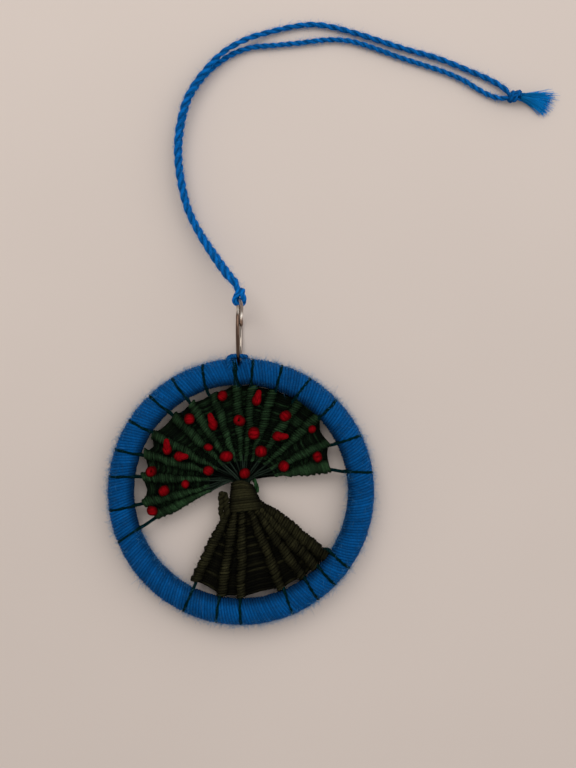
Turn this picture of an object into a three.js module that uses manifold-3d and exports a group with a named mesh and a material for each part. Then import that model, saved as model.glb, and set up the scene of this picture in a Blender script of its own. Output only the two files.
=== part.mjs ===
// Dorset button ornament: a yarn-cased ring with a woven tree, on a wire ring and a cord.
// Millimetres, +Z up. The button lies on its back, its face up and its hanging ring toward +Y.
import * as THREE from 'three';
import { mergeVertices } from 'three/addons/utils/BufferGeometryUtils.js';
import Module from 'manifold-3d';

const wasm = await Module();
wasm.setup();

// Driving dimensions

const CLEARANCE = 0.3;

// Craft ring inside the rim, and the yarn that cases it
const CORE_OUTSIDE = 60;
const CORE_STOCK = 3;
const CORE_SIDES = 8;
const CORE_STEPS = 48;
const RIM_YARN = 1.1;
const WRAP_PITCH = 1.7;
const WRAP_STEPS = 8;
const WRAP_SIDES = 5;

// Thread spokes: each lashes round the rim and runs into one rib of the weave
const THREAD = 0.8;
const THREAD_PROUD = 0.1;
const THREAD_SIDES = 5;
const SPOKE_SEAT_HALF = 15;
const LEG_DEPTH = 8;

// Place where the threads cross, off the ring's centre
const HUB = new THREE.Vector2(-0.2, 3.2);
const HUB_RADIUS = 4.7;
const HUB_THICKNESS = 1.1;

// Spokes by the angle where they cross the rim and the bare thread left outside the weave
const CROWN_SPOKES = [
  { name: 'spoke_07', angle: 10.6, bare: 3.2 },
  { name: 'spoke_06', angle: 26.3, bare: 0.4 },
  { name: 'spoke_05', angle: 43.8, bare: 0 },
  { name: 'spoke_04', angle: 59.2, bare: 0 },
  { name: 'spoke_03', angle: 71.7, bare: 0 },
  { name: 'spoke_02', angle: 84.7, bare: 0 },
  { name: 'spoke_01', angle: 92.8, bare: 0 },
  { name: 'spoke_22', angle: 107.6, bare: 0.1 },
  { name: 'spoke_21', angle: 120.8, bare: 0.1 },
  { name: 'spoke_20', angle: 132.8, bare: 0.2 },
  { name: 'spoke_19', angle: 146.8, bare: 0 },
  { name: 'spoke_18', angle: 160.4, bare: 0 },
  { name: 'spoke_17', angle: 172.5, bare: 0.4 },
  { name: 'spoke_16', angle: 187.5, bare: 0.9 },
  { name: 'spoke_15', angle: 200.2, bare: 3.2 },
];
const TRUNK_SPOKES = [
  { name: 'spoke_14', angle: 243.9, bare: 0.3 },
  { name: 'spoke_13', angle: 258.8, bare: 0 },
  { name: 'spoke_12', angle: 269.8, bare: 0 },
  { name: 'spoke_11', angle: 293.3, bare: 0 },
  { name: 'spoke_10', angle: 306.0, bare: 0 },
  { name: 'spoke_09', angle: 315.6, bare: 0 },
  { name: 'spoke_08', angle: 325.4, bare: 0 },
];

// Woven ribs and the thinner rows between them
const RIB_WIDTH = 2.4;
const RIB_THICKNESS = 2.4;
const RIB_ROOT_WIDTH = 1.1;
const RIB_ROOT_THICKNESS = 1.5;
const RIB_FLARE = 6;
const RIB_TIP = 0.8;
const RIB_TIP_SHARE = 0.86;
const RIB_STANDOFF = 0.1;
const RIB_SIDES = 8;
const WEB_THICKNESS = 1;
const WEB_SETBACK = 1;
const WEB_SAG = 0.9;

// Wrapped neck between the crown and the trunk, leaning to the right as it goes down
const NECK_LEAN = 11;
const NECK_TOP = 0.95;
const NECK_LENGTH = 6.3;
const NECK_TOP_WIDTH = 5;
const NECK_FOOT_WIDTH = 8;
const NECK_THICKNESS = 3.2;
const NECK_YARN = 0.75;
const NECK_LOOPS = 5;
const NECK_STEPS = 16;
const NECK_SIDES = 6;
const TRUNK_SPREAD = 9.6;

// Loose yarn ends beside the neck: distance down from the hub, and off the wrapped neck
const YARN_END_SIDES = 6;
const TRUNK_YARN_END = 1.5;
const TRUNK_YARN_ROUTE = [[2.4, 0.1], [3, 0.5], [4.2, 0.6], [5.6, 0.5], [6.9, 0.1]];
const CROWN_YARN_END = 0.9;
const CROWN_YARN_ROUTE = [[1.5, 0.1], [2.7, 0.3], [4.1, 0.1]];

// Berry knots by direction from the hub, share of the way to the rim, length, width and turn
const BERRY_HEIGHT = 1.7;
const BERRY_PROFILE = [[0, 0], [0.7, 0], [1, 0.45], [0.72, 0.86], [0, 1]];
const BERRY_SIDES = 8;
const BERRIES = [
  { angle: 104, share: 0.91, length: 2.9, width: 2.6, turn: 80 },
  { angle: 77.8, share: 0.88, length: 3.6, width: 2.5, turn: 75 },
  { angle: 54.1, share: 0.82, length: 2.9, width: 2.8, turn: 0 },
  { angle: 130.4, share: 0.79, length: 2.9, width: 2.7, turn: 0 },
  { angle: 115.9, share: 0.66, length: 4.4, width: 2.3, turn: 108 },
  { angle: 91.2, share: 0.62, length: 3, width: 2.9, turn: 90 },
  { angle: 72.9, share: 0.51, length: 3.2, width: 3.1, turn: 0 },
  { angle: 47.4, share: 0.61, length: 3.9, width: 2.6, turn: 0 },
  { angle: 34.3, share: 0.88, length: 2.3, width: 2.1, turn: 60 },
  { angle: 52.3, share: 0.36, length: 3.2, width: 3.1, turn: 40 },
  { angle: 156.6, share: 0.77, length: 3.9, width: 2.4, turn: 95 },
  { angle: 160, share: 0.62, length: 2.9, width: 2.7, turn: 0 },
  { angle: 135, share: 0.44, length: 2.4, width: 2, turn: 0 },
  { angle: 120.8, share: 0.27, length: 3.5, width: 2.9, turn: 10 },
  { angle: 165.6, share: 0.31, length: 2.9, width: 2.6, turn: 0 },
  { angle: 175.3, share: 0.83, length: 2.9, width: 2.5, turn: 80 },
  { angle: 53, share: 0.09, length: 2.9, width: 2.8, turn: 60 },
  { angle: 15.4, share: 0.43, length: 3, width: 2.8, turn: 70 },
  { angle: 15.9, share: 0.76, length: 2.7, width: 2.5, turn: 70 },
  { angle: 185.7, share: 0.52, length: 2.4, width: 2.2, turn: 80 },
  { angle: 189, share: 0.72, length: 2.9, width: 2.7, turn: 60 },
  { angle: 200.2, share: 0.88, length: 3, width: 2.5, turn: 160 },
];

// Wire ring, caught under a stitch of the casing yarn at the rim's outer edge
const RING_OUTSIDE = 16;
const RING_WIRE = 0.8;
const RING_X = -0.15;
const RING_OVERLAP_FROM = 41;
const RING_OVERLAP_TO = 84;
const RING_STEPS = 40;
const RING_SIDES = 6;
const EYELET_LEAN = 20;
const EYELET_OFFSET = 1.25;
const STITCH_YARN = 0.8;
const STITCH_STANDOFF = 1.4;
const STITCH_ASIDE = 0.4;
const STITCH_SIDES = 6;

// Cord: doubled, hitched to the wire ring, with a knot and a frayed tassel at its far end
const CORD = 1.5;
const CORD_SIDES = 8;
const CORD_STEPS = 36;
const HITCH_CORD = 1;
const HITCH_WAIST = 0.45;
const HITCH_HEAD = 1.3;
const HITCH_HEAD_SHAPE = [0.75, 0.8, 0.85];
const HITCH_HEAD_ASIDE = 0.2;
const HITCH_HEAD_OUT = 0.39;
const HITCH_SIDES = 12;
const KNOT_LENGTH = 4;
const KNOT_DIAMETER = 3;
const KNOT_PROFILE = [[0, -1], [0.6, -1], [1, -0.55], [0.82, 0], [1, 0.5], [0.55, 1], [0, 1]];
const KNOT_SIDES = 10;
const TASSEL_LENGTH = 7;
const TASSEL_WIDTH = 5;
const TASSEL_THICKNESS = 1.5;
const TASSEL_WAIST_SHARE = 0.6;

// Route of the cord from the middle of the hitch: across, along and above the surface
const CORD_PAIR_SIDE = 0.75;
const CORD_PAIR_LIFT = 1.8;
const CORD_TOGETHER = [
  [-1.1, 4.0, 7.1],
  [-2.7, 5.8, 6.0],
  [-5.8, 10.2, 3.7],
  [-9.4, 15.7, 2.4],
  [-12.4, 21.7, 1.9],
  [-14.1, 28.4, 1.8],
  [-14.8, 34.1, 1.8],
  [-14.6, 39.9, 1.8],
  [-13.3, 46.2, 1.7],
  [-11.4, 50.6, 1.4],
  [-8.2, 55.0, 1.0],
];
const CORD_LOWER = [
  [-4.5, 58.0, 0.85],
  [-0.9, 60.0, 0.85],
  [3.1, 61.2, 0.85],
  [8.0, 61.6, 0.85],
  [14.2, 62.2, 0.85],
  [20.2, 62.9, 0.85],
  [25.0, 62.8, 0.85],
  [29.8, 61.7, 0.85],
  [38.2, 58.7, 0.85],
  [47.8, 55.6, 0.85],
  [53.1, 53.4, 0.85],
  [57.4, 50.8, 0.85],
  [60.3, 49.4, 0.85],
  [62.5, 48.8, 1.1],
];
const CORD_UPPER = [
  [-4.9, 58.6, 2.8],
  [-1.6, 61.0, 2.5],
  [2.5, 63.2, 1.7],
  [7.2, 64.8, 1.0],
  [12.0, 66.0, 0.85],
  [16.8, 66.6, 0.85],
  [21.4, 66.1, 0.85],
  [28.6, 64.2, 0.85],
  [38.2, 61.1, 0.85],
  [47.8, 58.3, 0.85],
  [57.4, 54.4, 0.85],
  [60.8, 52.8, 0.85],
  [63.3, 51.0, 1.2],
];
const KNOT_PLACE = [65.4, 49.1];
const KNOT_TURN = -4;

// Sizes that follow from the driving dimensions

const radians = THREE.MathUtils.degToRad;
const UP = new THREE.Vector3(0, 0, 1);
const coreRadius = CORE_STOCK / 2;
const rimRadius = CORE_OUTSIDE / 2 - coreRadius;
const stepRadius = coreRadius + CLEARANCE + RIM_YARN / 2;
const wrapRadius = stepRadius / Math.cos(Math.PI / WRAP_STEPS);
const rimOuter = wrapRadius + RIM_YARN / 2;
const loopRadius = Math.max(rimOuter + THREAD_PROUD, coreRadius + CLEARANCE + THREAD) - THREAD / 2;
const rimHeight = loopRadius + THREAD / 2;
const threadCorner = THREAD / 2 / Math.cos(Math.PI / THREAD_SIDES);

// Distance in from the rim's own centre line where the two legs of a lashing meet, past the casing
const legGap = RIM_YARN / 2 + THREAD / 2 + CLEARANCE / 2;
const legMeet = loopRadius * stepRadius / (loopRadius - legGap);

const crownTop = rimHeight + RIB_THICKNESS / 2;
const hubTop = rimHeight + HUB_THICKNESS / 2;

// Materials

const material = (color, roughness, metalness = 0) =>
  new THREE.MeshStandardMaterial({ color, roughness, metalness });
const blueYarn = () => material(0x0a55a0, 0.9);
const greenThread = () => material(0x0c2a24, 0.6);
const greenYarn = () => material(0x1f4a2c, 0.9);
const brightGreenYarn = () => material(0x2c6b34, 0.9);
const brownYarn = () => material(0x2d2614, 0.9);
const redThread = () => material(0xa50014, 0.7);
const paleCore = () => material(0xd8cfbd, 0.6);
const ringWire = () => material(0x9a9088, 0.25, 1);
const blueCord = () => material(0x0a62ae, 0.8);

// Geometry helpers

// Regular section with one flat turned toward the sweep's up direction
function flatSection(sides, apothem) {
  const corner = apothem / Math.cos(Math.PI / sides);
  return Array.from({ length: sides }, (_, k) => {
    const turn = Math.PI / 2 + (2 * k + 1) * Math.PI / sides;
    return new THREE.Vector2(corner * Math.cos(turn), corner * Math.sin(turn));
  });
}

function roundSection(sides, radius) {
  return flatSection(sides, radius * Math.cos(Math.PI / sides));
}

// Closed skin over rings of equally many points, with fans over open ends
function skin(rings, closed) {
  const count = rings[0].length;
  const positions = rings.flat().flatMap((point) => point.toArray());
  const index = [];
  const spans = closed ? rings.length : rings.length - 1;
  for (let i = 0; i < spans; i += 1) {
    const here = i * count;
    const next = ((i + 1) % rings.length) * count;
    for (let k = 0; k < count; k += 1) {
      const side = (k + 1) % count;
      index.push(here + k, here + side, next + side);
      index.push(here + k, next + side, next + k);
    }
  }
  if (!closed) {
    const last = (rings.length - 1) * count;
    for (let k = 1; k < count - 1; k += 1) {
      index.push(0, k + 1, k);
      index.push(last, last + k, last + k + 1);
    }
  }
  const geometry = new THREE.BufferGeometry();
  geometry.setAttribute('position', new THREE.Float32BufferAttribute(positions, 3));
  geometry.setIndex(index);
  return geometry;
}

// Section swept along a path of points, mitred at each corner
function sweep(path, section, firstUp, closed = false) {
  const last = path.length - 1;
  let up = firstUp.clone();
  const rings = path.map((point, i) => {
    const before = path[i > 0 ? i - 1 : last];
    const after = path[i < last ? i + 1 : 0];
    const arriving = point.clone().sub(before).normalize();
    const leaving = after.clone().sub(point).normalize();
    if (!closed && i === 0) arriving.copy(leaving);
    if (!closed && i === last) leaving.copy(arriving);
    const along = arriving.clone().add(leaving).normalize();
    up = up.clone().addScaledVector(along, -up.dot(along)).normalize();
    const side = up.clone().cross(along);
    const bend = leaving.clone().sub(arriving);
    const mitre = bend.length() > 1e-6 ? 1 / along.dot(leaving) - 1 : 0;
    bend.normalize();
    return section.map(({ x, y }) => {
      const offset = side.clone().multiplyScalar(x).addScaledVector(up, y);
      offset.addScaledVector(bend, offset.dot(bend) * mitre);
      return offset.add(point);
    });
  });
  return skin(rings, closed);
}

// Straight bar whose width and thickness change from station to station
function taperedBar(start, end, stations, sides) {
  const along = end.clone().sub(start).normalize();
  const side = UP.clone().cross(along);
  const section = roundSection(sides, 0.5);
  const rings = stations.map(({ at, width, thickness }) => section.map(({ x, y }) =>
    start.clone().addScaledVector(along, at).addScaledVector(side, x * width)
      .addScaledVector(UP, y * thickness)));
  return skin(rings, false);
}

// Flat plate between two heights
function plate(outline, middle, thickness) {
  const geometry = new THREE.ExtrudeGeometry(new THREE.Shape(outline), {
    depth: thickness,
    bevelEnabled: false,
  });
  return geometry.translate(0, 0, middle - thickness / 2);
}

function toSolid(geometry) {
  const bare = geometry.clone();
  bare.deleteAttribute('normal');
  bare.deleteAttribute('uv');
  const merged = mergeVertices(bare, 1e-4);
  return new wasm.Manifold(new wasm.Mesh({
    numProp: 3,
    vertProperties: new Float32Array(merged.attributes.position.array),
    triVerts: new Uint32Array(merged.index.array),
  }));
}

function toGeometry(solid) {
  const { vertProperties, triVerts } = solid.getMesh();
  const geometry = new THREE.BufferGeometry();
  geometry.setAttribute('position', new THREE.Float32BufferAttribute(vertProperties, 3));
  geometry.setIndex(new THREE.Uint32BufferAttribute(triVerts, 1));
  return geometry;
}

function union(geometries) {
  return geometries.map(toSolid).reduce((joined, piece) => joined.add(piece));
}

function mesh(name, geometry, look) {
  const piece = new THREE.Mesh(geometry, look);
  piece.name = name;
  return piece;
}

// Least gap of a wound tube to itself, measured on points along its middle line
function leastGap(path, diameter, pointsPerTurn) {
  const parts = 4;
  const fine = [];
  for (let i = 0; i < path.length - 1; i += 1) {
    for (let k = 0; k < parts; k += 1) fine.push(path[i].clone().lerp(path[i + 1], k / parts));
  }
  const apart = parts * pointsPerTurn / 2;
  let least = Infinity;
  for (let i = 0; i < fine.length; i += 1) {
    for (let j = i + apart; j < fine.length; j += 1) {
      least = Math.min(least, fine[i].distanceTo(fine[j]));
    }
  }
  return least - diameter;
}

// Point round the rim: angle about the button, angle about the rim's own middle line, distance from it
function rimPoint(angle, around, distance) {
  const reach = rimRadius + distance * Math.cos(radians(around));
  return new THREE.Vector3(
    reach * Math.cos(radians(angle)),
    reach * Math.sin(radians(angle)),
    rimHeight + distance * Math.sin(radians(around)),
  );
}

const rimDegrees = (length) => THREE.MathUtils.radToDeg(length / rimRadius);

// Point of the neck: across from its middle line, and down from the hub
function neckPoint(across, down, height = rimHeight) {
  const lean = radians(NECK_LEAN);
  return new THREE.Vector3(
    HUB.x + across * Math.cos(lean) + down * Math.sin(lean),
    HUB.y + across * Math.sin(lean) - down * Math.cos(lean),
    height,
  );
}

const neckFoot = NECK_TOP + NECK_LENGTH;
const neckWidth = (down) =>
  THREE.MathUtils.mapLinear(down, NECK_TOP, neckFoot, NECK_TOP_WIDTH, NECK_FOOT_WIDTH);

// Spokes and the ribs that are woven on them

const allSpokes = [...CROWN_SPOKES, ...TRUNK_SPOKES];
const hubPoint = new THREE.Vector3(HUB.x, HUB.y, rimHeight);

// A rib runs from its root near the hub or the neck to its tip, in line with its spoke's leg
function ribLine(spoke, root) {
  const meet = rimPoint(spoke.angle, 180, legMeet);
  const inward = root.clone().sub(meet).normalize();
  const tip = meet.clone().addScaledVector(inward, RIB_STANDOFF + spoke.bare);
  const legEnd = tip.clone().addScaledVector(inward, LEG_DEPTH);
  return { spoke, meet, inward, root, tip, legEnd, length: tip.distanceTo(root) };
}

const crownRibs = CROWN_SPOKES.map((spoke) => {
  const meet = rimPoint(spoke.angle, 180, legMeet);
  const outward = meet.sub(hubPoint).normalize();
  return ribLine(spoke, hubPoint.clone().addScaledVector(outward, HUB_RADIUS + CLEARANCE));
});

const trunkRibs = TRUNK_SPOKES.map((spoke, i) => {
  const across = (i / (TRUNK_SPOKES.length - 1) - 0.5) * (TRUNK_SPREAD - RIB_ROOT_WIDTH);
  return ribLine(spoke, neckPoint(across, neckFoot + NECK_YARN / 2 + 2 * CLEARANCE));
});

function spokeThread({ spoke, meet, legEnd }) {
  const section = flatSection(THREAD_SIDES, THREAD / 2);
  const seat = loopRadius / Math.cos(radians(SPOKE_SEAT_HALF));
  const leaves = 180 - THREE.MathUtils.radToDeg(Math.acos(loopRadius / legMeet));
  const outer = 90 - SPOKE_SEAT_HALF;
  const turns = [90 + SPOKE_SEAT_HALF, outer, outer / 2, 0, -outer / 2, -outer, -90 - SPOKE_SEAT_HALF];
  const loop = [
    meet,
    rimPoint(spoke.angle, leaves, loopRadius),
    ...turns.map((turn) => rimPoint(spoke.angle, turn, seat)),
    rimPoint(spoke.angle, -leaves, loopRadius),
  ];
  const inward = new THREE.Vector3(-Math.cos(radians(spoke.angle)), -Math.sin(radians(spoke.angle)), 0);
  const lashing = sweep(loop, section, inward, true);
  const leg = sweep([meet, legEnd], section, UP);
  return toGeometry(union([lashing, leg]));
}

function ribBar({ root, tip, length }) {
  const flare = Math.min(RIB_FLARE, length / 2);
  return taperedBar(root, tip, [
    { at: 0, width: RIB_ROOT_WIDTH, thickness: RIB_ROOT_THICKNESS },
    { at: flare, width: RIB_WIDTH, thickness: RIB_THICKNESS },
    { at: length - RIB_TIP, width: RIB_WIDTH, thickness: RIB_THICKNESS },
    { at: length, width: RIB_WIDTH * RIB_TIP_SHARE, thickness: RIB_THICKNESS * RIB_TIP_SHARE },
  ], RIB_SIDES);
}

// Thin rows between the ribs, their outer edge sagging from tip to tip
function webOutline(ribs) {
  const tips = ribs.map(({ tip, inward }) => tip.clone().addScaledVector(inward, WEB_SETBACK));
  const roots = ribs.map(({ root }) => root).reverse();
  const edge = tips.flatMap((tip, i) => {
    if (i === tips.length - 1) return [tip];
    const middle = tip.clone().lerp(tips[i + 1], 0.5);
    const sag = ribs[i].inward.clone().add(ribs[i + 1].inward).normalize();
    return [tip, middle.addScaledVector(sag, WEB_SAG)];
  });
  return [...edge, ...roots].map(({ x, y }) => new THREE.Vector2(x, y));
}

// Weave of ribs and rows, hollow along each leg of thread
function weave(ribs) {
  const rows = plate(webOutline(ribs), rimHeight, WEB_THICKNESS);
  let solid = union([rows, ...ribs.map(ribBar)]);
  const bore = flatSection(RIB_SIDES, threadCorner + CLEARANCE);
  for (const { tip, legEnd, inward } of ribs) {
    const mouth = tip.clone().addScaledVector(inward, -CLEARANCE);
    const bottom = legEnd.clone().addScaledVector(inward, CLEARANCE);
    solid = solid.subtract(toSolid(sweep([mouth, bottom], bore, UP)));
  }
  return toGeometry(solid);
}

// Threads gathered at the hub, and bundled flat down the neck
function threadCrossing() {
  const step = Math.PI / (2 * CROWN_SPOKES.length);
  const fan = Array.from({ length: 2 * CROWN_SPOKES.length + 1 }, (_, k) => {
    const reach = k % 2 ? HUB_RADIUS : HUB_RADIUS - THREAD;
    const turn = radians(NECK_LEAN) + k * step;
    return new THREE.Vector2(HUB.x + reach * Math.cos(turn), HUB.y + reach * Math.sin(turn));
  });
  const inset = 2 * (NECK_YARN + CLEARANCE);
  const bundleEnd = neckFoot + NECK_YARN / 2;
  const bundle = taperedBar(neckPoint(0, -NECK_TOP), neckPoint(0, bundleEnd), [
    { at: 0, width: NECK_TOP_WIDTH - inset, thickness: HUB_THICKNESS / 2 },
    { at: 2 * NECK_TOP, width: NECK_TOP_WIDTH - inset, thickness: NECK_THICKNESS - inset },
    { at: bundleEnd + NECK_TOP, width: NECK_FOOT_WIDTH - inset, thickness: NECK_THICKNESS - inset },
  ], RIB_SIDES);
  return toGeometry(union([plate(fan, rimHeight, HUB_THICKNESS), bundle]));
}

// Turns of casing yarn between the spokes; every turn steps on to the next at the rim's inner edge
function wrapAngles() {
  const stitch = STITCH_YARN / 2 + RIM_YARN / 2 + CLEARANCE;
  const beside = rimDegrees(THREAD / 2 + RIM_YARN / 2 + CLEARANCE);
  const pitch = THREE.MathUtils.radToDeg(WRAP_PITCH / (rimRadius - wrapRadius));
  const stops = allSpokes.map(({ angle }) => angle).sort((a, b) => a - b);
  const left = stitchAngles().left + rimDegrees(stitch) - beside;
  const start = stops.findIndex((angle) => angle > left);
  const order = [left, ...stops.slice(start), ...stops.slice(0, start).map((angle) => angle + 360)];
  const right = CROWN_SPOKES.find(({ name }) => name === 'spoke_02').angle + 360;
  const bounds = order.filter((angle) => angle <= right);
  const angles = [];
  for (let i = 0; i < bounds.length - 1; i += 1) {
    const first = bounds[i] + beside;
    const room = bounds[i + 1] - beside - first;
    const count = Math.max(1, Math.floor(room / pitch) + 1);
    for (let k = 0; k < count; k += 1) {
      angles.push(count > 1 ? first + room * k / (count - 1) : first + room / 2);
    }
  }
  return angles;
}

function rimWinding() {
  const angles = wrapAngles();
  const step = 360 / WRAP_STEPS;
  const path = [];
  angles.forEach((angle, i) => {
    if (i > 0) path.push(rimPoint((angles[i - 1] + angle) / 2, 180, stepRadius));
    for (let k = 1; k < WRAP_STEPS; k += 1) path.push(rimPoint(angle, 180 - k * step, wrapRadius));
  });
  console.log('rim_winding turns', angles.length, 'least gap', leastGap(path, RIM_YARN, WRAP_STEPS).toFixed(2));
  const inward = rimPoint(angles[0], 180, 1).sub(rimPoint(angles[0], 0, 1)).normalize();
  return sweep(path, roundSection(WRAP_SIDES, RIM_YARN / 2), inward.negate());
}

function neckWinding() {
  const total = NECK_LOOPS * NECK_STEPS;
  const path = Array.from({ length: total + 1 }, (_, i) => {
    const down = NECK_TOP + NECK_LENGTH * i / total;
    const turn = 2 * Math.PI * i / NECK_STEPS;
    const across = (neckWidth(down) - NECK_YARN) / 2 * Math.cos(turn);
    return neckPoint(across, down, rimHeight + (NECK_THICKNESS - NECK_YARN) / 2 * Math.sin(turn));
  });
  console.log('neck_winding loops', NECK_LOOPS, 'least gap', leastGap(path, NECK_YARN, NECK_STEPS).toFixed(2));
  return sweep(path, roundSection(NECK_SIDES, NECK_YARN / 2), neckPoint(1, 0).sub(neckPoint(0, 0)));
}

// Yarn end lying beside the neck, given by how far down it goes and how far off the wrap it stands
function yarnEnd(side, yarn, places) {
  const points = places.map(([down, off]) => {
    const across = neckWidth(down) / 2 + CLEARANCE + yarn / 2 + off;
    return neckPoint(side * across, down);
  });
  const path = new THREE.CatmullRomCurve3(points).getPoints(2 * (points.length - 1));
  return sweep(path, roundSection(YARN_END_SIDES, yarn / 2), UP);
}

// Berry knot: a low bun on the crest of the weave
function berryKnot({ angle, share, length, width, turn }) {
  const profile = BERRY_PROFILE.map(([r, h]) => new THREE.Vector2(r / 2, h));
  const bun = new THREE.LatheGeometry(profile, BERRY_SIDES).rotateX(Math.PI / 2);
  bun.scale(length, width, BERRY_HEIGHT).rotateZ(radians(turn));
  const away = new THREE.Vector2(Math.cos(radians(angle)), Math.sin(radians(angle)));
  const inner = rimRadius - rimOuter;
  const reach = Math.sqrt(inner ** 2 - HUB.cross(away) ** 2) - HUB.dot(away);
  const place = HUB.clone().addScaledVector(away, share * reach);
  const onHub = share * reach < HUB_RADIUS / 2;
  return bun.translate(place.x, place.y, (onHub ? hubTop : crownTop) + CLEARANCE);
}

// Hanging ring, the stitch that holds it, and the cord

const eyeletReach = coreRadius + EYELET_OFFSET;
const eyelet = new THREE.Vector3(
  RING_X,
  rimRadius + eyeletReach * Math.cos(radians(EYELET_LEAN)),
  rimHeight + eyeletReach * Math.sin(radians(EYELET_LEAN)),
);
const ringRadius = (RING_OUTSIDE - RING_WIRE) / 2;
const ringRise = Math.asin((RING_OUTSIDE / 2 - eyelet.z) / ringRadius);
const ringMiddle = new THREE.Vector3(
  RING_X,
  eyelet.y + ringRadius * Math.cos(ringRise),
  RING_OUTSIDE / 2,
);

// The wire goes once round and a little more, and steps aside past the hitch, so its ends lie side by side
function ringPoint(turn) {
  const aside = (RING_WIRE + CLEARANCE) * THREE.MathUtils.smoothstep(turn, 0, RING_OVERLAP_FROM);
  return new THREE.Vector3(
    ringMiddle.x + aside,
    ringMiddle.y + ringRadius * Math.cos(radians(turn)),
    ringMiddle.z + ringRadius * Math.sin(radians(turn)),
  );
}

function hangingRing() {
  const sweepTurn = 360 + RING_OVERLAP_TO - RING_OVERLAP_FROM;
  const path = Array.from({ length: RING_STEPS + 1 }, (_, i) =>
    ringPoint(RING_OVERLAP_TO - sweepTurn * i / RING_STEPS));
  return sweep(path, roundSection(RING_SIDES, RING_WIRE / 2), new THREE.Vector3(1, 0, 0));
}

// Angles where the stitch goes round the rim, left and right of the wire and its neighbouring spoke
function stitchAngles() {
  const spoke = CROWN_SPOKES.find(({ name }) => name === 'spoke_01').angle;
  const wire = 90 - rimDegrees(RING_X);
  return {
    left: spoke + rimDegrees(THREAD / 2 + STITCH_YARN / 2 + CLEARANCE),
    right: wire - rimDegrees(RING_WIRE / 2 + STITCH_YARN / 2 + STITCH_ASIDE),
  };
}

function ringStitch() {
  const { left, right } = stitchAngles();
  const step = 360 / WRAP_STEPS;
  const seat = (coreRadius + CLEARANCE + STITCH_YARN / 2) / Math.cos(Math.PI / WRAP_STEPS);
  const bar = eyeletReach + STITCH_STANDOFF;
  const inset = rimDegrees(STITCH_YARN / 4);
  const path = [
    rimPoint(left, 180, seat),
    rimPoint(left, 180 - step, seat),
    rimPoint(left, 180 - 2 * step, seat),
    rimPoint(left, EYELET_LEAN + step, (seat + bar) / 2),
    rimPoint(left - inset, EYELET_LEAN, bar),
    rimPoint(right + inset, EYELET_LEAN, bar),
    rimPoint(right, EYELET_LEAN - step, (seat + bar) / 2),
    rimPoint(right, -2 * step, seat),
    rimPoint(right, -3 * step, seat),
    rimPoint(right, -180, seat),
  ];
  return sweep(path, roundSection(STITCH_SIDES, STITCH_YARN / 2), new THREE.Vector3(0, -1, 0));
}

const hitchMiddle = ringPoint(0);

// Two snug turns round the wire, and the bight that the doubled cord comes out of
function cordHitch() {
  const bore = RING_WIRE / 2 + HITCH_WAIST;
  const turn = (middle) => [0, 1, 2, 3].map((k) => {
    const around = radians(-90 + 60 * k);
    const half = HITCH_CORD / 2;
    return new THREE.Vector2(bore + half + half * Math.cos(around), middle + half * Math.sin(around));
  });
  const half = HITCH_CORD / 2;
  const profile = [
    new THREE.Vector2(bore, -HITCH_CORD),
    ...turn(-half),
    ...turn(half).slice(1),
    new THREE.Vector2(bore, HITCH_CORD),
    new THREE.Vector2(bore, -HITCH_CORD),
  ];
  const turns = new THREE.LatheGeometry(profile, HITCH_SIDES).rotateX(Math.PI / 2);
  const head = new THREE.SphereGeometry(HITCH_HEAD, 10, 6);
  head.scale(...HITCH_HEAD_SHAPE).translate(-HITCH_HEAD_ASIDE, bore + HITCH_CORD + HITCH_HEAD_OUT, 0);
  const joined = union([turns, head]);
  return toGeometry(joined).translate(0, 0, hitchMiddle.z);
}

function cordTube(points) {
  const section = new THREE.Shape(roundSection(CORD_SIDES, CORD / 2));
  const route = new THREE.CatmullRomCurve3(points.map((place) => new THREE.Vector3(...place)));
  return new THREE.ExtrudeGeometry(section, {
    steps: CORD_STEPS,
    bevelEnabled: false,
    extrudePath: route,
  });
}

// The two halves of the cord run together at first, one lying half on the other
function cordStrand(pairSign, apart) {
  const together = CORD_TOGETHER.map(([x, y, z]) => [
    x - pairSign * CORD_PAIR_SIDE / 2,
    y,
    pairSign > 0 ? z + CORD_PAIR_LIFT : z,
  ]);
  return cordTube([...together, ...apart]);
}

// Overhand knot: two humps round the cord's middle line, lying on the surface
function endKnot() {
  const half = KNOT_LENGTH / 2;
  const radius = KNOT_DIAMETER / 2;
  const profile = KNOT_PROFILE.map(([r, h]) => new THREE.Vector2(r * radius, h * half));
  return new THREE.LatheGeometry(profile, KNOT_SIDES).rotateZ(-Math.PI / 2).translate(0, 0, radius);
}

function tassel() {
  const start = new THREE.Vector3(KNOT_LENGTH / 2 + CLEARANCE, 0, KNOT_DIAMETER / 2);
  const end = start.clone().add(new THREE.Vector3(TASSEL_LENGTH, -TASSEL_WIDTH / 6, 0));
  end.z = TASSEL_THICKNESS / 2;
  const length = start.distanceTo(end);
  return taperedBar(start, end, [
    { at: 0, width: CORD, thickness: CORD },
    { at: length / 2, width: TASSEL_WAIST_SHARE * TASSEL_WIDTH, thickness: TASSEL_THICKNESS },
    { at: length, width: TASSEL_WIDTH, thickness: TASSEL_THICKNESS / 2 },
  ], CORD_SIDES);
}

// Assembly

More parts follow.
